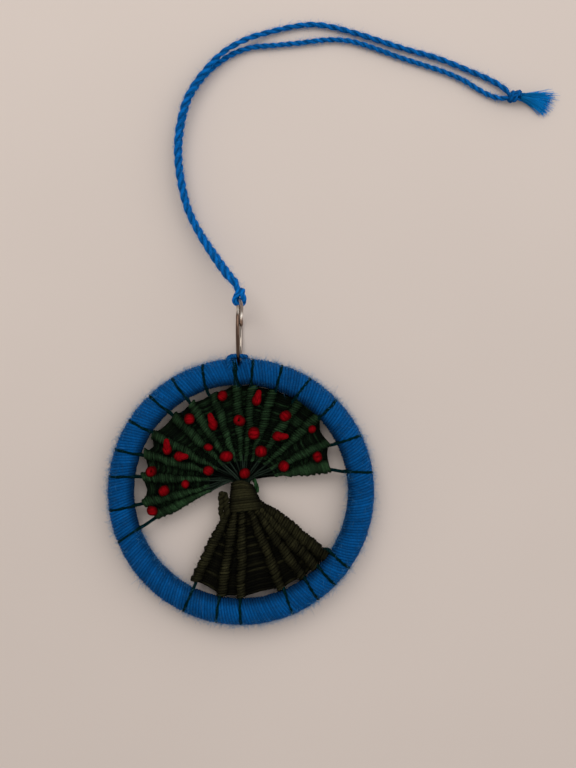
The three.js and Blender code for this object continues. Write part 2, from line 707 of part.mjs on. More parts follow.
const button = new THREE.Group();
const coreRing = new THREE.TorusGeometry(rimRadius, coreRadius, CORE_SIDES, CORE_STEPS).translate(0, 0, rimHeight);
button.add(mesh('core_ring', coreRing, paleCore()));
button.add(mesh('rim_winding', rimWinding(), blueYarn()));
for (const rib of [...crownRibs, ...trunkRibs]) {
  button.add(mesh(rib.spoke.name, spokeThread(rib), greenThread()));
}
button.add(mesh('thread_crossing', threadCrossing(), greenThread()));
button.add(mesh('crown_weave', weave(crownRibs), greenYarn()));
button.add(mesh('trunk_weave', weave(trunkRibs), brownYarn()));
button.add(mesh('neck_winding', neckWinding(), brownYarn()));
const trunkEnd = yarnEnd(-1, TRUNK_YARN_END, TRUNK_YARN_ROUTE);
button.add(mesh('trunk_yarn_end', trunkEnd, brownYarn()));
const crownEnd = yarnEnd(1, CROWN_YARN_END, CROWN_YARN_ROUTE);
button.add(mesh('crown_yarn_end', crownEnd, brightGreenYarn()));
BERRIES.forEach((berry, i) => {
  const name = `berry_knot_${String(i + 1).padStart(2, '0')}`;
  button.add(mesh(name, berryKnot(berry), redThread()));
});
button.add(mesh('ring_stitch', ringStitch(), blueYarn()));

const hanger = new THREE.Group();
hanger.add(mesh('hanging_ring', hangingRing(), ringWire()));

const cord = new THREE.Group();
cord.position.set(hitchMiddle.x, hitchMiddle.y, 0);
cord.add(mesh('cord_hitch', cordHitch(), blueCord()));
cord.add(mesh('cord_strand_lower', cordStrand(-1, CORD_LOWER), blueCord()));
cord.add(mesh('cord_strand_upper', cordStrand(1, CORD_UPPER), blueCord()));
const cordEnd = new THREE.Group();
cordEnd.position.set(...KNOT_PLACE, 0);
cordEnd.rotation.z = radians(KNOT_TURN);
cordEnd.add(mesh('cord_end_knot', endKnot(), blueCord()));
cordEnd.add(mesh('cord_tassel', tassel(), blueCord()));
cord.add(cordEnd);

// The origin lies on the surface, in the middle of the button and its hanging ring
const footprint = new THREE.Box3().expandByObject(button, true).expandByObject(hanger, true);
const middle = footprint.getCenter(new THREE.Vector3());
const ornament = new THREE.Group();
ornament.add(button, hanger, cord);
ornament.position.set(-middle.x, -middle.y, -footprint.min.z);

const placed = (point) => point.clone().add(ornament.position).toArray().map((v) => v.toFixed(3)).join(' ');
console.log('ring hinge', placed(eyelet), 'cord hinge', placed(hitchMiddle), 'rim middle', placed(new THREE.Vector3()));

export default ornament;
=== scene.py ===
"""Looks of the dorset button ornament: wound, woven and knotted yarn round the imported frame."""
import math

import bpy
import numpy as np
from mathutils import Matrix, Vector


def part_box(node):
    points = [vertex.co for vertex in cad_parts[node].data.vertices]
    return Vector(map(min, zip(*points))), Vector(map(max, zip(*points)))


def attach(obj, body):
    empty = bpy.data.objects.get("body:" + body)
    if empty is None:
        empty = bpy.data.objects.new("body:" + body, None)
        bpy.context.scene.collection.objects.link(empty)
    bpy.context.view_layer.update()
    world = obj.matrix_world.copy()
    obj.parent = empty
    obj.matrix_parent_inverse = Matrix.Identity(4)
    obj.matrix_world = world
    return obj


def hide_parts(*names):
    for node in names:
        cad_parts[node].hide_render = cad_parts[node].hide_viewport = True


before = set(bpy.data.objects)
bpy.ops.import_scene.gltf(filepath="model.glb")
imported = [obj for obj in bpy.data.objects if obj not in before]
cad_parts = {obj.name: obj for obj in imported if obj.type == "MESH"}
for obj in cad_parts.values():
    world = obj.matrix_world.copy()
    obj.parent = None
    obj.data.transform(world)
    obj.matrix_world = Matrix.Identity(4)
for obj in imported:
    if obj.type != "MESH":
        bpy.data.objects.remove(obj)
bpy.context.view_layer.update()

# Lengths are in millimetres in the frame's axes, and become metres when a mesh is made.
MM = 0.001
UP = np.array((0.0, 0.0, 1.0))
FULL = 2 * math.pi
SEED = 41
rng = np.random.default_rng(SEED)

# Middle line of the rim and the place where the threads cross, as in the CAD model
core_low, core_high = (np.array(corner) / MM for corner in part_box("core_ring"))
RIM = (core_low + core_high) / 2
RIM_RADIUS = 28.5
RIM_OUTER = 3.2
HUB = RIM + (-0.2, 3.2, 0.0)

# The photograph's scale, the pixel at the rim's middle and the size of the picture
PIXELS_PER_MM = 4.21
PHOTO_RIM = (241.0, 491.5)
PHOTO_SIZE = np.array((576.0, 768.0))


def from_photo(x, y, height=0.0):
    """Place in the rim's plane that a point of the photograph shows, raised by height."""
    across = (x - PHOTO_RIM[0]) / PIXELS_PER_MM
    along = (PHOTO_RIM[1] - y) / PIXELS_PER_MM
    return RIM + (across, along, height)


# Camera and light

CAMERA_HEIGHT = 222.0
SENSOR_HEIGHT = 24.0
CLIP_START = 0.005


def add_object(name, data):
    """New object with this data, linked to the scene."""
    made = bpy.data.objects.new(name, data)
    bpy.context.collection.objects.link(made)
    return made


def add_camera():
    """Camera that looks straight down on the middle of the photograph's view."""
    middle = from_photo(*(PHOTO_SIZE / 2))
    view_height = PHOTO_SIZE[1] / PIXELS_PER_MM
    data = bpy.data.cameras.new("camera")
    data.sensor_fit = "VERTICAL"
    data.sensor_height = SENSOR_HEIGHT
    data.lens = SENSOR_HEIGHT * (CAMERA_HEIGHT - middle[2]) / view_height
    data.clip_start = CLIP_START
    camera = add_object("camera", data)
    camera.location = (middle[0] * MM, middle[1] * MM, CAMERA_HEIGHT * MM)
    bpy.context.scene.camera = camera


def add_lamp(name, place, size, energy, colour):
    """Soft round lamp at a place in metres, turned towards the origin."""
    data = bpy.data.lights.new(name, "AREA")
    data.shape = "DISK"
    data.size = size
    data.energy = energy
    data.color = colour
    lamp = add_object(name, data)
    lamp.location = place
    lamp.rotation_euler = Vector(place).to_track_quat("Z", "Y").to_euler()


def add_world(colour, strength):
    """Even light from all sides."""
    world = bpy.data.worlds.new("room")
    world.use_nodes = True
    background = world.node_tree.nodes["Background"]
    background.inputs["Color"].default_value = colour
    background.inputs["Strength"].default_value = strength
    bpy.context.scene.world = world


add_camera()
add_lamp("key", place=(-0.154, 0.295, 0.372), size=0.32, energy=0.68, colour=(1.0, 0.965, 0.91))
add_lamp("fill", place=(0.465, 0.3, 0.435), size=1.05, energy=2.6, colour=(0.985, 0.975, 0.965))
add_world(colour=(1.0, 0.95, 0.9, 1.0), strength=0.55)
bpy.context.scene.view_settings.view_transform = "Standard"

# Materials


def linear(red, green, blue):
    """Linear colour with alpha from display values of 0 to 255."""
    def one(value):
        value /= 255
        return value / 12.92 if value <= 0.04045 else ((value + 0.055) / 1.055) ** 2.4
    return (one(red), one(green), one(blue), 1.0)


def grey(level):
    return (level, level, level, 1.0)


def shade(colour, share):
    """The colour with each channel times share."""
    return tuple(min(1.0, channel * share) for channel in colour[:3]) + (1.0,)


class Shader:
    """A Principled material, and short ways to add and join its nodes."""

    def __init__(self, name, roughness, **settings):
        self.material = bpy.data.materials.new(name)
        self.material.use_nodes = True
        self.tree = self.material.node_tree
        self.surface = self.tree.nodes["Principled BSDF"]
        self.surface.inputs["Roughness"].default_value = roughness
        for socket, value in settings.items():
            self.surface.inputs[socket.replace("_", " ")].default_value = value

    def node(self, kind, links=(), **values):
        """New node; each value goes to the socket of that name, or else to the node itself."""
        made = self.tree.nodes.new("ShaderNode" + kind)
        for key, value in values.items():
            if key in made.inputs:
                made.inputs[key].default_value = value
            else:
                setattr(made, key, value)
        for socket, source in dict(links).items():
            self.tree.links.new(source, made.inputs[socket])
        return made

    def attribute(self, name, output):
        """What the mesh holds under this name at each point."""
        return self.node("Attribute", attribute_name=name).outputs[output]

    def place(self):
        return self.node("TexCoord").outputs["Object"]

    def ramp(self, factor, stops):
        made = self.node("ValToRGB", {"Fac": factor})
        elements = made.color_ramp.elements
        while len(elements) < len(stops):
            elements.new(0.5)
        for element, (place, colour) in zip(elements, stops):
            element.position = place
            element.color = colour
        return made.outputs["Color"]

    def noise(self, vector, scale, detail=2.0, roughness=0.55):
        settings = {"Scale": scale, "Detail": detail, "Roughness": roughness}
        return self.node("TexNoise", {"Vector": vector}, **settings).outputs["Fac"]

    def multiply(self, first, second):
        made = self.node("Mix", data_type="RGBA", blend_type="MULTIPLY")
        made.inputs["Factor"].default_value = 1.0
        self.tree.links.new(first, made.inputs["A"])
        self.tree.links.new(second, made.inputs["B"])
        return made.outputs["Result"]

    def bump(self, height, distance, strength=1.0):
        made = self.node("Bump", {"Height": height}, Strength=strength, Distance=distance)
        self.tree.links.new(made.outputs["Normal"], self.surface.inputs["Normal"])

    def colour(self, source):
        self.tree.links.new(source, self.surface.inputs["Base Color"])


def yarn_material(name, colour, roughness, contrast=0.35, streaks=2.2, specular=0.05):
    """Spun fibre: streaks round and along each length, softer patches, and a tint by the point:
    random tone, with painted shade and painted light where the pieces set them.
    """
    shader = Shader(name, roughness, Specular_IOR_Level=specular)
    fibre = shader.attribute("fibre", "Vector")
    tint = shader.attribute("tint", "Fac")
    streak = shader.noise(fibre, streaks, detail=3.0, roughness=0.65)
    patch = shader.noise(shader.place(), scale=330.0)
    dark, light = shade(colour, 1 - contrast), shade(colour, 1 + contrast)
    base = shader.ramp(streak, [(0.33, dark), (0.68, light)])
    soft = shader.ramp(patch, [(0.3, grey(0.84)), (0.7, grey(1.0))])
    # The tint darkens the colour: random tone, and the painted shade and painted light set by the
    # pieces.
    turns = shader.ramp(tint, [(0.0, grey(0.04)), (1.0, grey(1.0))])
    shader.colour(shader.multiply(shader.multiply(base, soft), turns))
    shader.bump(streak, distance=0.00005)
    return shader.material


def wire_material():
    """Drawn wire with faint lines along it, with a painted reflection in its colour: brown for a
    dark room, full metal at painted glints and paler where it mirrors the table.
    """
    shader = Shader("ring_wire", 0.22, Metallic=1.0)
    fibre = shader.attribute("fibre", "Vector")
    painted_shine = shader.attribute("tint", "Fac")
    lines = shader.noise(fibre, scale=5.0, detail=3.0)
    metal = shader.ramp(lines, [(0.3, linear(196, 188, 180)), (0.7, linear(240, 234, 226))])
    # Painted reflection: brown where the painted shine is nought, full metal where it is one.
    painted_reflection = shader.ramp(painted_shine, [(0.0, (0.155, 0.105, 0.085, 1.0)), (1.0, grey(1.0))])
    shader.colour(shader.multiply(metal, painted_reflection))
    rough = shader.node("MapRange", {"Value": lines})
    rough.inputs["To Min"].default_value = 0.07
    rough.inputs["To Max"].default_value = 0.15
    shader.tree.links.new(rough.outputs["Result"], shader.surface.inputs["Roughness"])
    shader.bump(lines, distance=0.00001, strength=0.5)
    return shader.material


def moulded_material(name, colour):
    """Plain moulded plastic with a fine grain."""
    shader = Shader(name, 0.55)
    grain = shader.noise(shader.place(), scale=900.0)
    shader.colour(shader.ramp(grain, [(0.3, shade(colour, 0.9)), (0.7, colour)]))
    shader.bump(grain, distance=0.00002, strength=0.3)
    return shader.material


def table_material(colour):
    """Pale table top with faint clouds and a fine grain."""
    shader = Shader("table", 0.6)
    place = shader.place()
    cloud = shader.noise(place, scale=6.0, detail=3.0)
    shader.colour(shader.ramp(cloud, [(0.3, shade(colour, 0.97)), (0.7, shade(colour, 1.03))]))
    shader.bump(shader.noise(place, scale=700.0), distance=0.00002, strength=0.2)
    return shader.material


THREAD_LOOK = {"roughness": 0.6, "contrast": 0.5, "streaks": 1.6, "specular": 0.01}
casing_yarn = yarn_material("casing_yarn", linear(3, 80, 145), 0.9)
casing_fuzz = yarn_material("casing_fuzz", linear(84, 152, 208), 0.9)
spoke_thread = yarn_material("spoke_thread", linear(1, 51, 54), **THREAD_LOOK)
hub_thread = yarn_material("hub_thread", linear(43, 57, 48), **THREAD_LOOK)
crown_yarn = yarn_material("crown_yarn", linear(39, 65, 40), 0.85, contrast=0.75, streaks=2.8)
bright_yarn = yarn_material("bright_yarn", linear(36, 70, 40), 0.85)
trunk_yarn = yarn_material("trunk_yarn", linear(45, 44, 26), 0.85, contrast=0.8, streaks=2.8)
berry_thread = yarn_material("berry_thread", linear(131, 3, 13), 0.7, contrast=0.4, specular=0.02)
cord_cotton = yarn_material("cord_cotton", linear(4, 105, 188), 0.8, contrast=0.45, streaks=1.8)
frayed_cotton = yarn_material("frayed_cotton", linear(10, 148, 255), 0.8)
ring_wire = wire_material()
ring_core = moulded_material("ring_core", linear(226, 219, 204))

# Lines, and meshes of tubes along them

# Share of the radius at a tube's rounded end and at a fibre's tip
ROUND_END, FIBRE_TIP = 0.45, 0.35
# Streaks: their rate along a tube, the range of their start, and the twist of a ply, per mm
FIBRE_STRETCH, FIBRE_STARTS, PLY_TWIST = 0.4, 50, -2.2


def unit(vectors):
    vectors = np.asarray(vectors, float)
    return vectors / np.maximum(np.linalg.norm(vectors, axis=-1, keepdims=True), 1e-12)


def smooth(points, parts):
    """Curve through the points, with parts to a span."""
    points = np.asarray(points, float)
    padded = np.vstack((2 * points[0] - points[1], points, 2 * points[-1] - points[-2]))
    t = (np.arange(parts) / parts)[None, :, None]
    a, b, c, d = (padded[k:len(padded) - 3 + k, None, :] for k in range(4))
    curve = b + t / 2 * (c - a + t * (2 * a - 5 * b + 4 * c - d + t * (3 * (b - c) + d - a)))
    return np.vstack((curve.reshape(-1, 3), points[-1]))


def lengths(points):
    """Distance along the line from its start to each point."""
    steps = np.linalg.norm(np.diff(points, axis=0), axis=1)
    return np.concatenate(((0.0,), np.cumsum(steps)))


def evenly(points, step=0.2):
    """The same line with points about a step apart."""
    along = lengths(points)
    count = max(2, int(round(along[-1] / step)) + 1)
    wanted = np.linspace(0, along[-1], count)
    return np.stack([np.interp(wanted, along, points[:, k]) for k in range(3)], axis=1)


def carried(points):
    """Tangent, side and up at each point of a line, carried along it without twist."""
    tangent = unit(np.gradient(points, axis=0))
    up = UP if abs(tangent[0][2]) < 0.9 else np.array((1.0, 0.0, 0.0))
    ups = np.empty_like(tangent)
    for i, along in enumerate(tangent):
        up = up - along * (up @ along)
        up = up / math.sqrt(up @ up)
        ups[i] = up
    return tangent, np.cross(ups, tangent), ups


def corners(sides):
    """Angles of the corners of a tube's section."""
    return np.arange(sides) / sides * FULL


def facing(ways, side, up, sides):
    """How much each corner of a tube's section faces the way given for its point."""
    corner = corners(sides)
    to_side, to_up = ((ways * axis).sum(1)[:, None] for axis in (side, up))
    return to_side * np.cos(corner) + to_up * np.sin(corner)


class Bundle:
    """Tubes of yarn that become one mesh, with the fibre's way and a tint at each point."""

    def __init__(self):
        self.points, self.quads, self.ends, self.fibre, self.tint = [], [], [], [], []
        self.count = 0

    def add(self, rings, fibre, tint):
        """Tubes from their rings of points, with closed ends."""
        many, steps, sides, _ = rings.shape
        count = many * steps * sides
        here = self.count + np.arange(count).reshape(many, steps, sides)
        beside = np.roll(here, -1, axis=2)
        quads = np.stack((here[:, :-1], beside[:, :-1], beside[:, 1:], here[:, 1:]), axis=3)
        self.quads.append(quads.reshape(-1, 4))
        self.ends += list(here[:, 0, ::-1]) + list(here[:, -1])
        self.points.append(rings.reshape(-1, 3))
        self.fibre.append(fibre.reshape(-1, 3))
        self.tint.append(tint.ravel())
        self.count += count

    def tube(self, line, radius, sides, across=None, wide=None, twist=0.0, tint=None,
             round_ends=False):
        """Tube along line; across and wide are an oval section's long way and half its width."""
        line = np.asarray(line, float)
        radius = np.broadcast_to(np.asarray(radius, float), len(line)).copy()
        if round_ends:
            radius[[0, -1]] *= ROUND_END
        tangent, side, up = carried(line)
        if across is not None:
            side = unit(across - tangent * (across * tangent).sum(1, keepdims=True))
            up = np.cross(tangent, side)
        wide = radius if wide is None else wide
        turn = corners(sides)
        sideways = (side * np.reshape(wide, (-1, 1)))[:, None] * np.cos(turn)[None, :, None]
        upwards = (up * radius[:, None])[:, None] * np.sin(turn)[None, :, None]
        rings = line[:, None] + sideways + upwards
        along = lengths(line)
        spin = turn[None] + twist * along[:, None]
        run = along[:, None] * FIBRE_STRETCH + rng.uniform(0, FIBRE_STARTS)
        fibre = np.stack((np.cos(spin), np.sin(spin), np.broadcast_to(run, spin.shape)), axis=2)
        tint = np.asarray(rng.uniform(0.75, 1.0) if tint is None else tint)
        tint = tint if tint.ndim == 2 else tint.reshape(-1, 1)
        self.add(rings[None], fibre, np.broadcast_to(tint, (len(line), sides)))

    def plied(self, line, radius, lay, plies=2, sides=7, turn=0.0, tint=None, painted_groove_shade=0.35):
        """Plies twisted round line, one turn to each lay, with painted shade in the groove between
        them.
        """
        line = np.asarray(line, float)
        radius = np.broadcast_to(np.asarray(radius, float), len(line))
        _, side, up = carried(line)
        spin = FULL * lengths(line) / lay + turn
        share = 0.38 if plies == 2 else 0.44
        for k in range(plies):
            angle = spin + FULL * k / plies
            off = side * np.cos(angle)[:, None] + up * np.sin(angle)[:, None]
            ply = line + off * (radius * share)[:, None]
            _, ply_side, ply_up = carried(ply)
            light = rng.uniform(0.8, 1.0) if tint is None else tint
            # Painted shade: each ply is darker where it faces into the groove.
            outward = facing(off, ply_side, ply_up, sides)
            light = light * np.interp(outward, (-0.1, 0.75), (painted_groove_shade, 1.0))
            self.tube(ply, radius * (1.04 - share), sides, twist=PLY_TWIST, tint=light,
                      round_ends=True)

    def fibres(self, lines, radius, sides=3, tint=None):
        """Many fine tubes at once, from lines of equally many points."""
        lines = np.asarray(lines, float)
        many, steps, _ = lines.shape
        tangent = unit(np.gradient(lines, axis=1))
        aside = unit(rng.normal(size=(many, 1, 3)))
        side = unit(np.cross(tangent, aside))
        up = np.cross(tangent, side)
        turn = corners(sides)[:, None]
        thin = np.linspace(1, FIBRE_TIP, steps)[None, :, None, None]
        thin = thin * np.reshape(radius, (-1, 1, 1, 1))
        around = side[:, :, None] * np.cos(turn) + up[:, :, None] * np.sin(turn)
        rings = lines[:, :, None] + thin * around
        fibre = rng.uniform(0, 9, (many * steps * sides, 3))
        along = np.ones(steps) if tint is None else tint
        each = rng.uniform(0.75, 1.0, (many, 1)) * along
        self.add(rings, fibre, np.repeat(each.ravel(), sides))

    def piece(self, name, material, body, slot, *nodes):
        """The mesh as an object that rides on a body and stands for CAD nodes."""
        quads = np.concatenate(self.quads)
        loops = np.concatenate([quads.ravel(), *self.ends]).astype(np.int32)
        sizes = np.concatenate((np.full(len(quads), 4), [len(end) for end in self.ends]))
        starts = np.concatenate(((0,), np.cumsum(sizes)[:-1])).astype(np.int32)
        points = np.concatenate(self.points) * MM
        mesh = bpy.data.meshes.new(name)
        mesh.vertices.add(len(points))
        mesh.vertices.foreach_set("co", points.astype(np.float32).ravel())
        mesh.loops.add(len(loops))
        mesh.loops.foreach_set("vertex_index", loops)
        mesh.polygons.add(len(starts))
        mesh.polygons.foreach_set("loop_start", starts)
        mesh.polygons.foreach_set("use_smooth", np.ones(len(starts), bool))
        fibre = mesh.attributes.new("fibre", "FLOAT_VECTOR", "POINT")
        fibre.data.foreach_set("vector", np.concatenate(self.fibre).astype(np.float32).ravel())
        tint = mesh.attributes.new("tint", "FLOAT", "POINT")
        tint.data.foreach_set("value", np.concatenate(self.tint).astype(np.float32))
        mesh.update(calc_edges=True)
        mesh.materials.append(material)
        made = add_object(name, mesh)
        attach(made, body)
        if nodes:
            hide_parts(*nodes)
        return made


# Wire ring: it stands on the table and passes through its stitch at the rim's outer edge

RING_RADIUS = 7.6
RING_WIRE = 0.4
RING_LEAN = math.radians(20)
EYELET_REACH = 2.75
EYELET_ASIDE = -0.15
EYELET = RIM + (
    EYELET_ASIDE,
    RIM_RADIUS + EYELET_REACH * math.cos(RING_LEAN),
    EYELET_REACH * math.sin(RING_LEAN),
)
RING_HEIGHT = RING_RADIUS + RING_WIRE
RING_AHEAD = math.sqrt(RING_RADIUS ** 2 - (RING_HEIGHT - EYELET[2]) ** 2)
RING_MIDDLE = np.array((EYELET[0], EYELET[1] + RING_AHEAD, RING_HEIGHT))

# Cord: two halves from the hitch on the wire ring to the knot, as in the CAD model

HITCH = RING_MIDDLE + (0.0, RING_RADIUS, 0.0)
BELOW_HITCH = HITCH * (1, 1, 0)
CORD_RADIUS = 0.74
KNOT_LAY, KNOT_PLIES = 5.12, 3
PAIR_LIFT = 1.8
CORD_TOGETHER = [
    (-1.1, 4.0, 7.1), (-2.7, 5.8, 6.0), (-5.8, 10.2, 3.7), (-9.4, 15.7, 2.4), (-12.4, 21.7, 1.9),
    (-14.1, 28.4, 1.8), (-14.8, 34.1, 1.8), (-14.6, 39.9, 1.8), (-13.3, 46.2, 1.7),
    (-11.4, 50.6, 1.4), (-8.2, 55.0, 1.0),
]
PAIR_SIDES = (0.7, 0.95, 0.9, 0.5, 0.34, 0.34, 0.34, 0.34, 0.25, 0.15, 0.3)
CORD_LOWER = [
    (-4.5, 58.0, 0.85), (-0.9, 60.0, 0.85), (3.1, 61.2, 0.85), (8.0, 61.6, 0.85),
    (14.2, 62.2, 0.85), (20.2, 62.9, 0.85), (25.0, 62.8, 0.85), (29.8, 61.7, 0.85),
    (38.2, 58.7, 0.85), (47.8, 55.6, 0.85), (53.1, 53.4, 0.85), (57.4, 50.8, 0.85),
    (60.3, 49.4, 0.85), (62.5, 48.8, 1.1),
]
CORD_UPPER = [
    (-4.9, 58.6, 2.8), (-1.6, 61.0, 2.5), (2.5, 63.2, 1.7), (7.2, 64.8, 1.0), (12.0, 66.0, 0.85),
    (16.8, 66.6, 0.85), (21.4, 66.1, 0.85), (28.6, 64.2, 0.85), (38.2, 61.1, 0.85),
    (47.8, 58.3, 0.85), (57.4, 54.4, 0.85), (60.8, 52.8, 0.85), (63.3, 51.0, 1.2),
]
KNOT = BELOW_HITCH + (65.4, 49.1, 1.5)
KNOT_TURN = math.radians(-4)

# Half of the lark's head from one half of the cord, round the wire, to the bar across the cord
HITCH_RADIUS = 0.7
HITCH_HALF = [
    (-0.72, 3.2, 0.8), (-0.36, 2.2, 0.76), (-0.3, 1.35, 0.72), (-0.62, 0.7, 0.7),
    (-1.02, -0.05, 0.68), (-0.78, -0.78, 0.68), (0.0, -1.12, 0.68), (0.78, -0.78, 0.68),
    (1.02, -0.05, 0.7), (0.8, 0.68, 0.72), (0.6, 1.3, 0.66),
]
HITCH_BAR = (0.66, 2.1, 0.0)

# End knot: its core's points along and above it, and its crossing's along, across and above
KNOT_CORE = ((-0.9, 0.0), (0.3, 0.1), (1.2, 0.0), (2.1, -0.2))
KNOT_COIL_STEPS = 22
KNOT_CROSSING = (
    (-1.2, -0.9, 0.2), (-0.4, -0.4, 1.0), (0.4, 0.4, 1.05), (1.2, 1.1, 0.3), (1.5, 1.35, 0.0),
)
TASSEL_FIBRES, TASSEL_STEPS = 330, 9
CORD_FUZZ = 4500
ABOVE_TABLE = 0.03


def knot_place(x, y, z):
    """Point of the end knot, whose x goes on along the cord."""
    cos, sin = math.cos(KNOT_TURN), math.sin(KNOT_TURN)
    return KNOT + (x * cos - y * sin, x * sin + y * cos, z)


def hitch_line():
    """Line of the whole lark's head, whose second half mirrors the first."""
    upper = np.array(HITCH_HALF)
    lower = upper[::-1] * (1, 1, -1)
    return np.vstack((upper, HITCH_BAR, lower)) + HITCH


def cord_line(sign, apart):
    """Line of the upper half of the cord for sign 1, or of the lower half for sign -1."""
    lift = PAIR_LIFT if sign > 0 else 0.0
    start = [HITCH + (x, y, sign * z) for x, y, z in (HITCH_HALF[1], HITCH_HALF[0])]
    together = [
        BELOW_HITCH + (x - sign * side / 2, y, z + lift)
        for (x, y, z), side in zip(CORD_TOGETHER, PAIR_SIDES)
    ]
    alone = [BELOW_HITCH + place for place in apart]
    inside = [knot_place(-1.0, 0.3 * sign, 0.0)]
    return evenly(smooth(start + together + alone + inside, 12), 0.25)


def end_knot():
    """Overhand knot: the doubled cord goes round itself and out through its own loop."""
    bundle = Bundle()

    def wind(points, parts, radius, tint=None):
        line = smooth([knot_place(*point) for point in points], parts)
        bundle.plied(evenly(line), radius, KNOT_LAY, KNOT_PLIES, tint=tint)

    for aside in (-0.4, 0.4):
        wind([(x, aside, z) for x, z in KNOT_CORE], 6, 0.52)
    coil = []
    for k in range(KNOT_COIL_STEPS + 1):
        share = k / KNOT_COIL_STEPS
        angle = FULL * (0.1 + 2.2 * share)
        along = -1.1 + 1.9 * share + 0.3 * math.sin(angle)
        across = 0.86 * math.cos(angle) + 0.25 * (share - 0.5)
        coil.append((along, across, 0.84 * math.sin(angle)))
    wind(coil, 3, 0.62, tint=0.7)
    wind(KNOT_CROSSING, 6, 0.5, tint=0.6)
    return bundle.piece("end_knot", cord_cotton, "cord", "hanging_cord", "cord_end_knot")


def tassel():
    """Frayed ends: loose fibres that fan out from the knot and sink to the table."""
    bundle = Bundle()
    each = (TASSEL_FIBRES, 1)
    share = np.linspace(0, 1, TASSEL_STEPS)[None, :]
    fan = rng.uniform(0, 1, each)
    angle = np.radians(-32 + 35 * fan + rng.normal(0, 3.5, each))
    reach = share * (6.1 + 1.6 * fan + rng.normal(0, 0.8, each))
    bend = angle * (0.55 + 0.45 * share)
    phase = share * rng.uniform(4, 9, each) + rng.uniform(0, FULL, each)
    wave = 0.1 * np.sin(phase) * share
    rise = rng.uniform(-0.75, 0.75, each)
    floor = rng.uniform(-1.45, -0.35, each)
    x = 1.55 + reach * np.cos(bend) - wave * np.sin(bend)
    y = -0.75 + 1.5 * fan + reach * np.sin(bend) + wave * np.cos(bend)
    z = rise * (1 - share) + floor * share ** 0.8
    radius = rng.uniform(0.06, 0.1, TASSEL_FIBRES)
    tint = np.linspace(0.5, 1.25, TASSEL_STEPS) * rng.uniform(0.75, 1.15, each)
    bundle.fibres(np.stack((x, y, z), axis=2) + KNOT, radius, 4, tint=tint)
    return bundle.piece("tassel", frayed_cotton, "cord", "hanging_cord", "cord_tassel")


def fuzz(base, outward, along, length, lift, radius, steps=6, tint=None):
    """Curling fibres that leave a surface: out a little, then along it and back.

    Length and lift are shape and scale of their gamma spread, and radius is a range.
    """
    many = len(base)
    length, lift = rng.gamma(*length, many), rng.gamma(*lift, many)
    share = np.linspace(0, 1, steps)[None, :, None]
    side = unit(np.cross(outward, along))
    lean = unit(along * rng.normal(0, 1, (many, 1)) + side * rng.normal(0, 0.8, (many, 1)))
    curl = unit(rng.normal(0, 1, (many, 3)))[:, None]
    rise = np.sin(share * rng.uniform(1.6, 2.6, (many, 1, 1)))
    out = outward[:, None] * (lift[:, None, None] * rise)
    run = lean[:, None] * share * length[:, None, None]
    bend = curl * share ** 2 * (length * 0.3)[:, None, None]
    lines = base[:, None] + out + run + bend
    lines[:, :, 2] = np.maximum(lines[:, :, 2], ABOVE_TABLE)
    bundle = Bundle()
    bundle.fibres(lines, rng.uniform(*radius, many), tint=tint)
    return bundle


def cord_fuzz(name, line, radius):
    """Fine loose fibres all along one half of the cord."""
    chosen = rng.integers(0, len(line), CORD_FUZZ)
    tangent, side, up = (values[chosen] for values in carried(line))
    turn = rng.uniform(0, FULL, (CORD_FUZZ, 1))
    outward = side * np.cos(turn) + up * np.sin(turn)
    base = line[chosen] + outward * radius[chosen, None] * 0.9
    bundle = fuzz(base, outward, tangent, (3.0, 0.24), (2.0, 0.15), (0.012, 0.022), steps=5)
    return bundle.piece("cord_fuzz_" + name, frayed_cotton, "cord", "hanging_cord")


def cord_half(name, sign, apart, thin, lay, going):
    """One half of the cord, thinner where it lies alone, with its fuzz and the pieces on it."""
    line = cord_line(sign, apart)
    along = lengths(line)
    places = (0, 5, 50, 80, along[-1] - 3, along[-1])
    radius = CORD_RADIUS * np.interp(along, places, (0.9, 1.0, 1.0, thin, thin, 0.76))
    bundle = Bundle()
    bundle.plied(line, radius, lay, sides=10, turn=0.9 * sign, painted_groove_shade=0.45)
    piece = bundle.piece("cord_" + name, cord_cotton, "cord", "hanging_cord", "cord_strand_" + name)
    going.append(cord_fuzz(name, line, radius))


def cords():
    """Hitch on the wire ring, and both halves of the cord."""
    bundle = Bundle()
    bundle.plied(evenly(smooth(hitch_line(), 8), 0.15), HITCH_RADIUS, KNOT_LAY, KNOT_PLIES)
    hitch = bundle.piece("hitch", cord_cotton, "cord", "hanging_cord", "cord_hitch")
    cord_half("lower", -1, CORD_LOWER, thin=0.8, lay=4.0, going=[hitch, end_knot(), tassel()])
    cord_half("upper", 1, CORD_UPPER, thin=0.88, lay=5.5, going=[])


cords()

# Rim: the craft ring cased in wool

RIM_TURNS = 258
TURN_STEPS = 18
TURN_SLANT = math.radians(3.2)
FIRST_TURN = math.radians(94)
WOOL_THICK = 0.33
WOOL_HALF_WIDTH = 0.57
RIM_FUZZ, RIM_FUZZ_STEPS = 8500, 4

# Spokes: name, and the angle in degrees where each crosses the rim's outer and inner edge
CROWN_SPOKES = [
    ("07", 8.5, 11.1), ("06", 25.3, 26.9), ("05", 43.8, 43.5), ("04", 58.5, 60.1),
    ("03", 71.9, 71.0), ("02", 84.6, 84.4), ("01", 92.7, 92.2), ("22", 106.7, 108.6),
    ("21", 121.3, 120.0), ("20", 133.5, 131.9), ("19", 147.2, 146.2), ("18", 161.2, 159.7),
    ("17", 173.3, 171.7), ("16", 188.1, 187.3), ("15", 202.5, 199.5),
]
TRUNK_SPOKES = [
    ("14", 244.3, 243.8), ("13", 259.3, 258.5), ("12", 270.1, 269.6), ("11", 293.2, 293.8),
    ("10", 305.9, 306.5), ("09", 315.5, 316.1), ("08", 324.9, 326.2),
]
THREAD_RADIUS = 0.4
LOOP_RADIUS = 2.79
LEG_MEET = 3.88
LEG_LIFT = 0.22
DOUBLED_SPOKE, DOUBLED_ASIDE = "01", 0.29
WIRE_ANGLE = math.radians(90.3)
WIRE_AROUND = math.radians(20)


